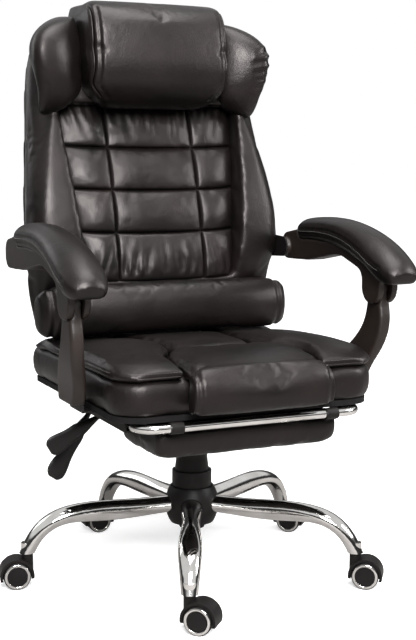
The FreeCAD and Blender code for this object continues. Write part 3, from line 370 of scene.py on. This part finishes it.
# Blows a closed skin up a little, as foam fills its cover. No point moves further than the cap.
def inflate(obj, soft):
    start = coordinates(obj)
    cloth = obj.modifiers.new("cloth", "CLOTH")
    cloth.settings.quality = cover["quality"]
    cloth.settings.mass = cover["mass"]
    cloth.settings.tension_stiffness = cover["stretch"]
    cloth.settings.compression_stiffness = cover["stretch"]
    cloth.settings.bending_stiffness = cover["bending"]
    cloth.settings.use_pressure = True
    cloth.settings.uniform_pressure_force = soft["pressure"]
    cloth.settings.effector_weights.gravity = 0
    cloth.point_cache.frame_start = 1
    cloth.point_cache.frame_end = cover["frames"]
    for step in range(1, cover["frames"] + 1):
        scene.frame_set(step)
    graph = bpy.context.evaluated_depsgraph_get()
    blown = obj.evaluated_get(graph).to_mesh()
    end = np.empty(len(blown.vertices) * 3)
    blown.vertices.foreach_get("co", end)
    move = end.reshape(-1, 3) - start
    obj.evaluated_get(graph).to_mesh_clear()
    obj.modifiers.clear()
    scene.frame_set(1)
    length = np.linalg.norm(move, axis=1, keepdims=True)
    limit = soft["cap"] * mm
    setCoordinates(obj, start + move * np.minimum(1, limit / np.maximum(length, 1e-9)))


def softSkin(name, nodeName, soft):
    obj = linkObject(name, nodes[nodeName].data.copy())
    obj.data.materials.clear()
    addModifier(obj, "REMESH", mode="VOXEL", voxel_size=soft["voxel"] * mm)
    addModifier(obj, "SMOOTH", factor=0.5, iterations=soft["smooth"])
    bakeModifiers(obj)
    if soft["pressure"] > 0:
        inflate(obj, soft)
    return obj


# What swells beside a notch in leather: share of its depth, place in widths of it, and how wide it is.
seamSwell = (0.25, 2.2, 1.0)
endSeamSwell = (0.8 / 3, 2.2, 1.0)
foldSwell = (0.45, 2.0, 1.0)
gatherSwell = (0.42, 2.1, 0.9)


# Section across a notch 1 deep, by the distance from its middle in widths.
def notch(away, swelling):
    share, where, wide = swelling
    return -np.exp(-away ** 2) + share * np.exp(-((away - where) / wide) ** 2)


# Moves a skin along its normals, outwards where the move is positive.
def pushSkin(obj, moveMm):
    setCoordinates(obj, coordinates(obj) + normals(obj) * (moveMm * mm)[:, None])


# Distance of every point to a line of points, in metres.
def distanceTo(points, line):
    best = np.full(len(points), 1e9)
    for a, b in zip(line, line[1:]):
        a = np.array(a)
        span = np.array(b) - a
        share = np.clip(((points - a) @ span) / max(span @ span, 1e-12), 0, 1)
        best = np.minimum(best, np.linalg.norm(points - a - share[:, None] * span, axis=1))
    return best


# Presses a seam into a skin along a line.
def pressSeam(obj, line, soft):
    away = distanceTo(coordinates(obj), line) / (soft["seamWidth"] * mm)
    pushSkin(obj, soft["seamDepth"] * notch(away, seamSwell))


# The push of the two seams that run round a pad, one near each of its ends.
def endSeams(points, soft):
    away = np.abs(np.abs(points[:, 0]) / mm - soft["seamX"]) / soft["seamWidth"]
    return soft["seamDepth"] * notch(away, endSeamSwell)


# Lays folds into a skin. Each fold is start, end, width and depth, deepest at its start.
def layFolds(obj, folds):
    points = coordinates(obj)
    facing = normals(obj)
    for start, end, width, depth in folds:
        a = np.array(start) * mm
        span = np.array(end) * mm - a
        share = np.clip(((points - a) @ span) / (span @ span), 0, 1)
        away = np.linalg.norm(points - a - share[:, None] * span, axis=1) / (width * mm)
        fade = np.clip(1.15 - share, 0, 1) ** 0.8
        points = points + facing * (notch(away, foldSwell) * fade * depth * mm)[:, None]
    setCoordinates(obj, points)


def treeOf(obj):
    mesh = obj.data
    return BVHTree.FromPolygons([v.co for v in mesh.vertices], [p.vertices for p in mesh.polygons])


# Drops a line of points along an axis onto a skin, starting well outside it, and lifts them off it.
def dropOnto(tree, line, direction, liftMm=0.0):
    aim = Vector(direction)
    result = []
    for point in line:
        hit = tree.ray_cast(Vector(point) * mm - aim * 0.4, aim)[0]
        if hit is not None:
            result.append(hit - aim * (liftMm * mm))
    return result


# A smooth curve through the points, in even steps between one and the next.
def smoothLine(points, count):
    path = [Vector(p) for p in points]
    knots = len(path) - 1
    result = []
    for step in range(count + 1):
        t = step / count * knots
        i = min(int(t), knots - 1)
        t -= i
        p0 = path[max(i - 1, 0)]
        p1 = path[i]
        p2 = path[i + 1]
        p3 = path[min(i + 2, knots)]
        result.append(0.5 * (2 * p1 + (p2 - p0) * t + (2 * p0 - 5 * p1 + 4 * p2 - p3) * t * t
                             + (3 * p1 - p0 - 3 * p2 + p3) * t ** 3))
    return result


# A round cord of leather along a line, closed at its ends.
def piping(name, line, radiusMm):
    curve = bpy.data.curves.new(name, "CURVE")
    curve.dimensions = "3D"
    spline = curve.splines.new("POLY")
    spline.points.add(len(line) - 1)
    for point, spot in zip(spline.points, line):
        point.co = (*spot, 1)
    curve.bevel_depth = radiusMm * mm
    curve.bevel_resolution = 2
    curve.use_fill_caps = True
    holder = linkObject(name, curve)
    graph = bpy.context.evaluated_depsgraph_get()
    mesh = bpy.data.meshes.new_from_object(holder.evaluated_get(graph))
    bpy.data.objects.remove(holder)
    obj = linkObject(name, mesh)
    shadeSmooth(obj)
    return obj


stitch = {
    "length": 4.2, "gap": 1.8, "radius": 0.55, "sides": 6,
    "profile": ((0.0, 0.4), (0.25, 1.0), (0.75, 1.0), (1.0, 0.4)),     # shares of the length and the radius
}


# The point at a distance along a line whose points lie at the given lengths.
def pointAt(line, lengths, distance):
    index = int(np.searchsorted(lengths, distance)) - 1
    index = min(max(index, 0), len(line) - 2)
    span = max(lengths[index + 1] - lengths[index], 1e-9)
    return line[index].lerp(line[index + 1], (distance - lengths[index]) / span)


# A row of stitches along a line: short threads, thin where they dip into the leather.
def stitches(name, line):
    pitch = (stitch["length"] + stitch["gap"]) * mm
    sides = stitch["sides"]
    lengths = [0.0]
    for a, b in zip(line, line[1:]):
        lengths.append(lengths[-1] + (b - a).length)
    points = []
    faces = []
    for number in range(int(lengths[-1] / pitch)):
        start = pointAt(line, lengths, number * pitch)
        end = pointAt(line, lengths, number * pitch + stitch["length"] * mm)
        along = (end - start).normalized()
        side = along.orthogonal().normalized()
        top = along.cross(side)
        base = len(points)
        for share, size in stitch["profile"]:
            centre = start.lerp(end, share)
            for corner in range(sides):
                angle = math.tau * corner / sides
                outward = side * math.cos(angle) + top * math.sin(angle)
                points.append(centre + outward * stitch["radius"] * size * mm)
        last = base + sides * (len(stitch["profile"]) - 1)
        for ringStart in range(base, last, sides):
            for corner in range(sides):
                a = ringStart + corner
                b = ringStart + (corner + 1) % sides
                faces.append((a, b, b + sides, a + sides))
        faces.append(tuple(base + sides - 1 - corner for corner in range(sides)))
        faces.append(tuple(last + corner for corner in range(sides)))
    obj = meshFrom(name, points, faces)
    shadeSmooth(obj)
    return obj


# Gives a piece its finish, the one for the named slot unless a material is given, and its body.
def place(obj, body, slotName, material=None, subdivide=0, replaced=()):
    obj.data.materials.clear()
    obj.data.materials.append(material or finishes[slotName])
    shadeSmooth(obj)
    if subdivide:
        addModifier(obj, "SUBSURF", levels=subdivide, render_levels=subdivide)
    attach(obj, body)
    if replaced:
        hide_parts(*replaced)


# Puts a leather pad in the place of its CAD solid.
def placePad(obj, body, nodeName):
    place(obj, body, "leather", subdivide=1, replaced=(nodeName,))


# Camera, from the photograph's vanishing lines

view = {"spot": (-949.7, -2156.6, 801.0), "azimuth": -24.55, "elevation": 7.25, "lens": 68.45, "sensor": 36}


def placeCamera():
    data = bpy.data.cameras.new("camera")
    data.lens = view["lens"]
    data.sensor_width = view["sensor"]
    camera = linkObject("camera", data)
    camera.location = Vector(view["spot"]) * mm
    turn = math.radians(view["azimuth"])
    rise = math.radians(view["elevation"])
    aim = Vector((-math.sin(turn) * math.cos(rise), math.cos(turn) * math.cos(rise), -math.sin(rise)))
    camera.rotation_euler = aim.to_track_quat("-Z", "Y").to_euler()
    scene.camera = camera


placeCamera()
print("stage: camera placed")


# Back: the quilted panel between the two bolsters

panel = {
    "rows": (99, 86, 86, 108),      # heights of the rows, from the foot up
    "seamX": 94, "footHalfWidth": 160, "topHalfWidth": 198, "thickness": 16, "edgeDrop": 12, "bow": 5,
    "puff": 15, "roundness": 0.36, "groove": 3.0, "grooveWidth": 2.6,
    "acrossFaces": (("left", 30), ("middle", 56), ("right", 30)), "rowFaces": 30,
    "uneven": ((1.8, 0.022), (0.5, 0.08)),      # height, and waves to the millimetre
}
# Gathers in the top row, drawn in under the headrest, in the bottom row, drawn in under the pillow, and
# soft ones that hang from the two seams between. They run from one height to another, deepest at the start.
gathers = (
    {"from": 936, "to": 846, "lean": -0.15, "width": 5.0, "depth": 4.6,
     "xs": (-182, -160, -139, -118, -104, -74, -52, -31, -9, 15, 38, 57, 78, 106, 121, 143, 162, 184)},
    {"from": 590, "to": 664, "lean": -0.18, "width": 6.0, "depth": 4.2,
     "xs": (-148, -128, -112, -82, -62, -36, 4, 40, 63, 82, 112, 127, 146)},
    {"from": 838, "to": 796, "lean": 0.12, "width": 7.0, "depth": 1.6, "xs": (-120, -70, -20, 36, 74, 128)},
    {"from": 752, "to": 706, "lean": 0.12, "width": 7.0, "depth": 1.6, "xs": (-112, -58, 10, 60, 118)},
)
# How a gather widens on its way, sets in and fades, and how much the next differs in length and in depth.
gatherShape = {"widening": 0.5, "onset": 6, "fading": 0.8, "vary": 0.25, "lengthTurn": 2.4, "depthTurn": 1.7}


# Shares from 0 to 1 that crowd towards both ends, so that the grid is finest at the seams.
def crowded(count):
    return [0.5 - 0.5 * math.cos(math.pi * step / count) for step in range(count + 1)]


# Lines of the grid across the panel: the section each is in, and its share of that section's width.
def panelColumns():
    lines = []
    for section, count in panel["acrossFaces"]:
        shares = crowded(count)[1:] if lines else crowded(count)
        lines += [(section, u) for u in shares]
    return lines


# Lines of the grid up the panel: height, share of the row's height, and that height.
def panelRows(bottom):
    lines = []
    low = bottom
    for height in panel["rows"]:
        shares = crowded(panel["rowFaces"])[1:] if lines else crowded(panel["rowFaces"])
        lines += [(low + height * v, v, height) for v in shares]
        low += height
    return lines


# How far the folds of one row of gathers push each point in.
def gatherDepth(points, row):
    push = np.zeros(len(points))
    vary = gatherShape["vary"]
    share = (points[:, 2] - row["from"]) / (row["to"] - row["from"])
    onWay = np.clip(share, 0, 1)
    onset = np.clip(1 + share * gatherShape["onset"], 0, 1)
    for index, x in enumerate(row["xs"]):
        centre = x + row["lean"] * x * onWay
        away = np.abs(points[:, 0] - centre) / (row["width"] * (1 + gatherShape["widening"] * onWay))
        length = 1 - vary + vary * math.sin(index * gatherShape["lengthTurn"])
        depth = row["depth"] * (1 - vary + vary * math.sin(index * gatherShape["depthTurn"] + 1))
        fade = np.clip(1 - share / length, 0, 1) ** gatherShape["fading"] * onset
        push -= depth * fade * notch(away, gatherSwell)
    return push


# Where a line of the grid lies across the panel: x, and the distance to the nearest upright seam.
def acrossPanel(section, u, half):
    seamX = panel["seamX"]
    if section == "middle":
        return -seamX + 2 * seamX * u, min(u, 1 - u) * 2 * seamX
    wide = half - seamX
    if section == "left":
        return -half + wide * u, (1 - u) * wide
    return seamX + wide * u, u * wide


# The curve up the panel on which its seams lie, through the CAD panel's front at each cross seam.
def panelCurve(bottom):
    heights = np.cumsum([bottom] + list(panel["rows"][:-1]))
    line = [(0, 0, max(z, bottom + 1)) for z in heights]     # at the very foot it would miss the panel
    depths = [hit.y / mm for hit in dropOnto(treeOf(nodes["quilted_panel"]), line, (0, 1, 0))]
    return np.polyfit(heights - bottom, depths, 2)


def quiltedPanel():
    low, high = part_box("quilted_panel")
    bottom = low.z / mm
    top = high.z / mm
    curve = panelCurve(bottom)
    columns = panelColumns()
    rows = panelRows(bottom)
    points = []
    for z, v, height in rows:
        share = (z - bottom) / (top - bottom)
        half = panel["footHalfWidth"] + (panel["topHalfWidth"] - panel["footHalfWidth"]) * share
        rowAway = min(v, 1 - v) * height
        for section, u in columns:
            x, seamAway = acrossPanel(section, u, half)
            swell = panel["puff"] * (4 * u * (1 - u) * 4 * v * (1 - v)) ** panel["roundness"]
            groove = math.exp(-(min(seamAway, rowAway) / panel["grooveWidth"]) ** 2)
            outward = max(0.0, abs(x) - panel["seamX"]) / (half - panel["seamX"])
            y = np.polyval(curve, z - bottom) + panel["edgeDrop"] * outward ** 1.5 - swell
            y += panel["groove"] * groove
            points.append((x, y, z - panel["bow"] * (1 - (x / half) ** 2)))
    points = np.array(points)
    for row in gathers:
        points[:, 1] += gatherDepth(points, row)
    for index, point in enumerate(points):
        unevenness = [height * noise.noise(Vector(point) * waves) for height, waves in panel["uneven"]]
        points[index, 1] += sum(unevenness)
    width = len(columns)
    faces = []
    for j in range(len(rows) - 1):
        for a in range(j * width, j * width + width - 1):
            faces.append((a, a + 1, a + width + 1, a + width))
    obj = meshFrom("quiltedPanel", points * mm, faces)
    addModifier(obj, "SOLIDIFY", thickness=panel["thickness"] * mm, offset=-1)
    bakeModifiers(obj)
    return obj


place(quiltedPanel(), "back", "leather", replaced=("quilted_panel",))
print("stage: quilted panel sewn")


# Back: bolsters and shell

bolsters = {
    "voxel": 7, "smooth": 9, "pressure": 3, "cap": 8,
    # folds on the side at +x, and mirrored on the other: start, end, width and depth
    "folds": (((262, 170, 640), (215, 150, 655), 9, 3.0), ((262, 180, 700), (220, 158, 706), 10, 2.5),
              ((200, 150, 590), (232, 140, 604), 9, 2.5)),
}
shell = {"voxel": 7, "smooth": 8, "pressure": 0}


def backBolsters():
    obj = softSkin("backBolsters", "back_cushion", bolsters)
    for side in (-1, 1):
        mirror = np.array((side, 1, 1))
        layFolds(obj, [(mirror * start, mirror * end, width, depth)
                       for start, end, width, depth in bolsters["folds"]])
    return obj


placePad(backBolsters(), "back", "back_cushion")
placePad(softSkin("backShell", "back_shell", shell), "back", "back_shell")
print("stage: bolsters and back shell")


# Headrest and wings

headrest = {
    "voxel": 5, "smooth": 8, "pressure": 2, "cap": 3,
    "pipedInset": 9, "plainInset": 20,      # of the two seams, from each end of the pad
    "seamHeights": (1110, 1060, 1000, 960, 934), "footInset": 20, "seamSteps": 40,
    "seamWidth": 3.2, "seamDepth": 3.0, "pipingRadius": 2.2,
    "folds": (((-60, 118, 926), (-50, 100, 960), 8, 3.0), ((10, 118, 926), (6, 100, 962), 9, 2.5),
              ((70, 118, 926), (62, 100, 958), 8, 3.0)),
}


# An upright seam down the headrest's face, which draws in towards the middle at its foot.
def headrestSeam(obj, side, inset):
    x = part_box("headrest")[1].x / mm - inset
    line = [(side * x, 0, z) for z in headrest["seamHeights"]]
    line[-1] = (side * (x - headrest["footInset"]), 0, headrest["seamHeights"][-1])
    return dropOnto(treeOf(obj), smoothLine(line, headrest["seamSteps"]), (0, 1, 0))


def headrestPad():
    obj = softSkin("headrestPad", "headrest", headrest)
    cords = []
    for sideName, side in bothSides:
        for inset in (headrest["pipedInset"], headrest["plainInset"]):
            seam = headrestSeam(obj, side, inset)
            pressSeam(obj, seam, headrest)
            if inset == headrest["pipedInset"]:
                cords.append((sideName, seam))
    layFolds(obj, headrest["folds"])
    for sideName, seam in cords:
        place(piping("headrestPiping_" + sideName, seam, headrest["pipingRadius"]), "back", "leather")
    return obj


placePad(headrestPad(), "back", "headrest")


wing = {
    "voxel": 5, "smooth": 7, "pressure": 4, "cap": 12, "hemTop": 985, "rise": 46, "tuck": 16,
    # height and reach inwards of the gathers at the outer edge of the wing at +x
    "gathers": ((1040, 26), (1020, 38), (1000, 34), (985, 30), (968, 40), (950, 34), (932, 36), (915, 28)),
    "edgeX": 254, "edgeY": 172, "reachY": 160, "fall": 8, "gatherWidth": 5.5, "gatherDepth": 4.0,
}


# Draws the wing's lower end up towards the neck and flat onto the bolster, as its slanting hem is sewn down.
def slantHem(obj, nodeName):
    low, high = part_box(nodeName)
    points = coordinates(obj) / mm
    inner = min(abs(low.x), abs(high.x)) / mm
    outer = max(abs(low.x), abs(high.x)) / mm
    below = np.clip((wing["hemTop"] - points[:, 2]) / (wing["hemTop"] - low.z / mm), 0, 1)
    inward = np.clip((outer - np.abs(points[:, 0])) / (outer - inner), 0, 1)
    points[:, 2] += wing["rise"] * below * inward
    points[:, 1] += wing["tuck"] * below ** 2
    setCoordinates(obj, points * mm)


def wingPad(sideName, side):
    obj = softSkin("wingPad_" + sideName, "wing_" + sideName, wing)
    slantHem(obj, "wing_" + sideName)
    folds = []
    for z, reach in wing["gathers"]:
        start = (wing["edgeX"], wing["edgeY"], z)
        end = (wing["edgeX"] - reach, wing["reachY"], z - wing["fall"])
        folds.append((start, end, wing["gatherWidth"], wing["gatherDepth"]))
    if side > 0:
        layFolds(obj, folds)
    return obj


for sideName, side in bothSides:
    placePad(wingPad(sideName, side), "back", "wing_" + sideName)
print("stage: headrest and wings")


# Lumbar pillow

pillow = {
    "voxel": 5, "smooth": 6, "pressure": 4, "cap": 10, "crown": 15,
    "seamX": 246, "seamWidth": 4.0, "seamDepth": 3.0,
}


def lumbarPillow():
    obj = softSkin("lumbarPillow", "lumbar_pillow", pillow)
    low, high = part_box("lumbar_pillow")
    points = coordinates(obj)
    upper = np.clip((points[:, 2] - (low.z + high.z) / 2) / ((high.z - low.z) / 2), 0, 1)
    points[:, 2] += pillow["crown"] * mm * upper * np.clip(1 - (points[:, 0] / high.x) ** 2, 0, 1)
    setCoordinates(obj, points)
    pushSkin(obj, endSeams(points, pillow))
    return obj


placePad(lumbarPillow(), "back", "lumbar_pillow")
print("stage: lumbar pillow")


# Seat

seatBase = {"voxel": 6, "smooth": 7, "pressure": 4, "cap": 8}
frontPad = {
    "voxel": 5, "smooth": 6, "pressure": 3, "cap": 6,
    "seamX": 126, "seamWidth": 3.2, "seamDepth": 3.0, "seamRearY": -220,
}
flatPads = {
    "voxel": 5, "smooth": 5, "pressure": 3, "cap": 6,
    "rimX": range(128, 226, 7), "rimY": range(-232, 130, 12), "flankX": 200,
    "weltLift": 6, "seamLift": 10, "stitchLift": 14,        # over the pad's foot
    "seamWidth": 2.4, "seamDepth": 1.6, "weltRadius": 2.0, "clear": 0.2,
}


def seatFrontPad():
    obj = softSkin("seatFrontPad", "seat_pad_front", frontPad)
    points = coordinates(obj)
    front = points[:, 1] < frontPad["seamRearY"] * mm
    pushSkin(obj, np.where(front, endSeams(points, frontPad), 0))
    return obj


# The rim of a side pad at one height, from the front pad round the corner to the back.
def padRim(tree, side, z):
    front = [(side * x, 0, z) for x in flatPads["rimX"]]
    flank = [(side * flatPads["flankX"], y, z) for y in flatPads["rimY"]]
    rim = dropOnto(tree, front, (0, 1, 0), flatPads["clear"])
    return rim + dropOnto(tree, flank, (-side, 0, 0), flatPads["clear"])


def sidePad(sideName, side):
    nodeName = "seat_pad_" + sideName
    obj = softSkin("seatSidePad_" + sideName, nodeName, flatPads)
    tree = treeOf(obj)
    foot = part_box(nodeName)[0].z / mm
    pressSeam(obj, padRim(tree, side, foot + flatPads["seamLift"]), flatPads)
    weltLine = padRim(tree, side, foot + flatPads["weltLift"])
    place(piping("padWelt_" + sideName, weltLine, flatPads["weltRadius"]), "seat", "leather")
    row = padRim(tree, side, foot + flatPads["stitchLift"])
    place(stitches("padStitches_" + sideName, row), "seat", "leather", material=threadFinish)
    return obj


placePad(softSkin("seatBase", "seat_cushion", seatBase), "seat", "seat_cushion")
placePad(seatFrontPad(), "seat", "seat_pad_front")
placePad(softSkin("seatRearPad", "seat_pad_rear", flatPads), "seat", "seat_pad_rear")
for sideName, side in bothSides:
    placePad(sidePad(sideName, side), "seat", "seat_pad_" + sideName)
print("stage: seat pads")


# Footrest pad

footPad = {"voxel": 5, "smooth": 4, "pressure": 3, "cap": 5}
placePad(softSkin("footrestCushion", "footrest_pad", footPad), "footrest_flap", "footrest_pad")
print("stage: footrest pad")


# Arms

armPadSkin = {
    "voxel": 4, "smooth": 4, "pressure": 3, "cap": 3,
    "seamShares": (0.3, 0.5), "stitchShare": 0.4,       # of the pad's height, from its foot
    "seamY": range(70, -262, -12), "slice": 7, "seamSteps": 120,
    "seamWidth": 2.2, "seamDepth": 1.3, "clear": 0.1,
}
armMoulding = {"voxel": 2.5, "smooth": 4, "pressure": 0}


# A line along one side of an arm pad at a share of its height, from the rear to the front.
def armSideLine(obj, centreX, side, share):
    tree = treeOf(obj)
    points = coordinates(obj) / mm
    line = []
    for y in armPadSkin["seamY"]:
        heights = points[np.abs(points[:, 1] - y) < armPadSkin["slice"]][:, 2]
        z = heights.min() + share * (heights.max() - heights.min())
        line += dropOnto(tree, [(centreX, y, z)], (-side, 0, 0), armPadSkin["clear"])
    return smoothLine(line, armPadSkin["seamSteps"])


def armPad(sideName, side):
    nodeName = "arm_pad_" + sideName
    obj = softSkin("armPad_" + sideName, nodeName, armPadSkin)
    low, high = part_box(nodeName)
    centreX = (low.x + high.x) / 2 / mm
    for flank in (-1, 1):
        for share in armPadSkin["seamShares"]:
            pressSeam(obj, armSideLine(obj, centreX, flank, share), armPadSkin)
        row = armSideLine(obj, centreX, flank, armPadSkin["stitchShare"])
        name = "armStitches_" + sideName + ("_outer" if flank == side else "_inner")
        place(stitches(name, row), "arm_" + sideName, "leather", material=threadFinish)
    return obj


for sideName, side in bothSides:
    placePad(armPad(sideName, side), "arm_" + sideName, "arm_pad_" + sideName)
    place(softSkin("armMoulding_" + sideName, "arm_frame_" + sideName, armMoulding),
          "arm_" + sideName, "arm_plastic", replaced=("arm_frame_" + sideName,))
    place(softSkin("uprightMoulding_" + sideName, "arm_upright_" + sideName, armMoulding),
          "upright_" + sideName, "arm_plastic", replaced=("arm_upright_" + sideName,))
print("stage: arms")


# Levers: the moulded grips at the rods' ends

grip = {"length": 112, "neck": 20, "rootSlice": 14, "swell": 0.42, "shoulder": 0.3}


# A copy of a lever whose flat end is as full as the moulded grip.
def leverGrip(name, nodeName):
    obj = linkObject(name, nodes[nodeName].data.copy())
    points = coordinates(obj) / mm
    tip = points[np.argmin(points[:, 0] + points[:, 2])]
    bladeX = points[:, 0].min() + grip["length"] - grip["neck"]
    blade = points[points[:, 0] < bladeX]
    root = blade[blade[:, 0] > bladeX - grip["rootSlice"]].mean(axis=0)
    along = (tip - root) / np.linalg.norm(tip - root)
    across = np.cross(along, (0, 1, 0))
    share = (points - root) @ along / np.linalg.norm(tip - root)
    offset = (points - root) @ across
    full = np.clip(share / grip["shoulder"], 0, 1) * grip["swell"]
    full[points[:, 0] > bladeX] = 0
    setCoordinates(obj, (points + (offset * full)[:, None] * across) * mm)
    return obj


for nodeName, bodyName in (("height_lever", "height_handle"), ("recline_lever", "recline_handle")):
    place(leverGrip("grip_" + nodeName, nodeName), bodyName, "lever_plastic", replaced=(nodeName,))
print("stage: levers")


# Casters: bright rings on the wheels

ring = {
    "segments": 64,
    # section of the ring: radius, and height over the wheel's face
    "section": ((19.2, -1.0), (19.2, 0.2), (20.0, 0.5), (23.2, 0.5), (24.4, -0.4), (24.4, -1.0)),
}


def middleOf(nodeName):
    low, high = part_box(nodeName)
    return (low + high) / 2


def wheelRing(wheelName, axle):
    centre = middleOf(wheelName)
    along = axle.normalized()
    reach = max((v.co - centre).dot(along) for v in nodes[wheelName].data.vertices)
    face = centre + along * reach
    side = Vector((0, 0, 1))
    up = along.cross(side)
    points = []
    for step in range(ring["segments"]):
        angle = math.tau * step / ring["segments"]
        outward = side * math.cos(angle) + up * math.sin(angle)
        for radius, lift in ring["section"]:
            points.append(face + outward * (radius * mm) + along * (lift * mm))
    width = len(ring["section"])
    faces = []
    for step in range(ring["segments"]):
        here = step * width
        there = (step + 1) % ring["segments"] * width
        for k in range(width):
            after = (k + 1) % width
            faces.append((here + k, here + after, there + after, there + k))
    place(meshFrom("ring_" + wheelName, points, faces), wheelName, "chrome")


for joint in frame["joints"]:
    if "_spin_" not in joint["name"]:
        continue
    wheelName = joint["child"]
    twinName = wheelName[:-1] + ("b" if wheelName.endswith("a") else "a")
    axle = Vector(joint["axis"])
    if (middleOf(wheelName) - middleOf(twinName)).dot(axle) < 0:
        axle = -axle     # the ring is on the wheel's outer face, away from its twin
    wheelRing(wheelName, axle)
print("stage: caster rings")


# Floor, world and lamps

studio = {
    "floor": "#f4f4f4", "floorDim": "#a09d9b", "floorSize": 30,     # the size in metres
    "glow": (0.5, 1.0), "glowReach": (1.2, 4.5),                    # strengths, and metres from the chair
    "sky": 0.22,
    # what chrome mirrors: height in the sky, and brightness there
    "mirrored": ((0.0, 1.0), (0.03, 0.03), (0.3, 0.05), (0.42, 0.8)),
    # name, place and target in metres, size in metres, and watts
    "lamps": (
        ("keyLamp", (-0.9, -2.9, 2.4), (0, 0, 0.75), 1.5, 265),
        ("fillLamp", (2.6, -1.5, 1.9), (0, 0, 0.7), 1.2, 70),
        ("topLamp", (0.1, -0.5, 3.2), (0, 0, 0.4), 1.8, 95),
        ("rimLamp", (-1.6, 2.6, 1.9), (0, 0, 0.8), 1.4, 12),
    ),
}


# Matt floor paint: white where the camera sees it, dimmer in what the chair takes from it.
def studioFloor():
    size = studio["floorSize"] / 2
    corners = [(-size, -size, 0), (size, -size, 0), (size, size, 0), (-size, size, 0)]
    obj = meshFrom("studioFloor", corners, [(0, 1, 2, 3)])
    material, tree, spot = newMaterial("paintedFloor")
    path = addNode(tree, "ShaderNodeLightPath")
    seen = addNode(tree, "ShaderNodeMixRGB", {
        0: path.outputs["Is Camera Ray"],
        1: linearColour(studio["floorDim"]), 2: linearColour(studio["floor"])})
    paint = addNode(tree, "ShaderNodeBsdfDiffuse", {"Color": seen.outputs["Color"]})
    away = addNode(tree, "ShaderNodeVectorMath", {0: spot}, operation="LENGTH")
    amount = addNode(tree, "ShaderNodeMapRange", {
        "Value": away.outputs["Value"],
        "From Min": studio["glowReach"][0], "From Max": studio["glowReach"][1],
        "To Min": studio["glow"][0], "To Max": studio["glow"][1]})
    toCamera = addNode(tree, "ShaderNodeMath", {
        0: path.outputs["Is Camera Ray"], 1: amount.outputs["Result"]}, operation="MULTIPLY")
    glow = addNode(tree, "ShaderNodeEmission", {"Color": grey(1.0), "Strength": toCamera.outputs["Value"]})
    both = addNode(tree, "ShaderNodeAddShader", {0: paint.outputs["BSDF"], 1: glow.outputs["Emission"]})
    addNode(tree, "ShaderNodeOutputMaterial", {"Surface": both.outputs["Shader"]})
    obj.data.materials.append(material)


# White to the camera. To bright metal it is white above, with the dark side of a studio at the horizon.
def studioWorld():
    world = bpy.data.worlds.new("studio")
    world.use_nodes = True
    scene.world = world
    tree = world.node_tree
    tree.nodes.clear()
    path = addNode(tree, "ShaderNodeLightPath")
    direction = addNode(tree, "ShaderNodeTexCoord").outputs["Generated"]
    height = addNode(tree, "ShaderNodeSeparateXYZ", {"Vector": direction})
    mirrored = addNode(tree, "ShaderNodeValToRGB", {"Fac": height.outputs["Z"]}, stops=[
        (position, grey(level)) for position, level in studio["mirrored"]])
    soft = addNode(tree, "ShaderNodeBackground", {"Color": grey(1.0), "Strength": studio["sky"]})
    bright = addNode(tree, "ShaderNodeBackground", {"Color": grey(1.0), "Strength": 1.0})
    metalView = addNode(tree, "ShaderNodeBackground", {"Color": mirrored.outputs["Color"], "Strength": 1.0})
    glossy = addNode(tree, "ShaderNodeMixShader", {
        0: path.outputs["Is Glossy Ray"], 1: soft.outputs["Background"], 2: metalView.outputs["Background"]})
    shown = addNode(tree, "ShaderNodeMixShader", {
        0: path.outputs["Is Camera Ray"], 1: glossy.outputs["Shader"], 2: bright.outputs["Background"]})
    addNode(tree, "ShaderNodeOutputWorld", {"Surface": shown.outputs["Shader"]})


def studioLamps():
    for name, spot, target, size, power in studio["lamps"]:
        data = bpy.data.lights.new(name, "AREA")
        data.shape = "SQUARE"
        data.size = size
        data.energy = power
        lamp = linkObject(name, data)
        lamp.location = spot
        lamp.rotation_euler = (Vector(target) - Vector(spot)).to_track_quat("-Z", "Y").to_euler()


studioFloor()
studioWorld()
studioLamps()
scene.view_settings.view_transform = "Standard"
print("stage: studio lit")

print("stage: finished")
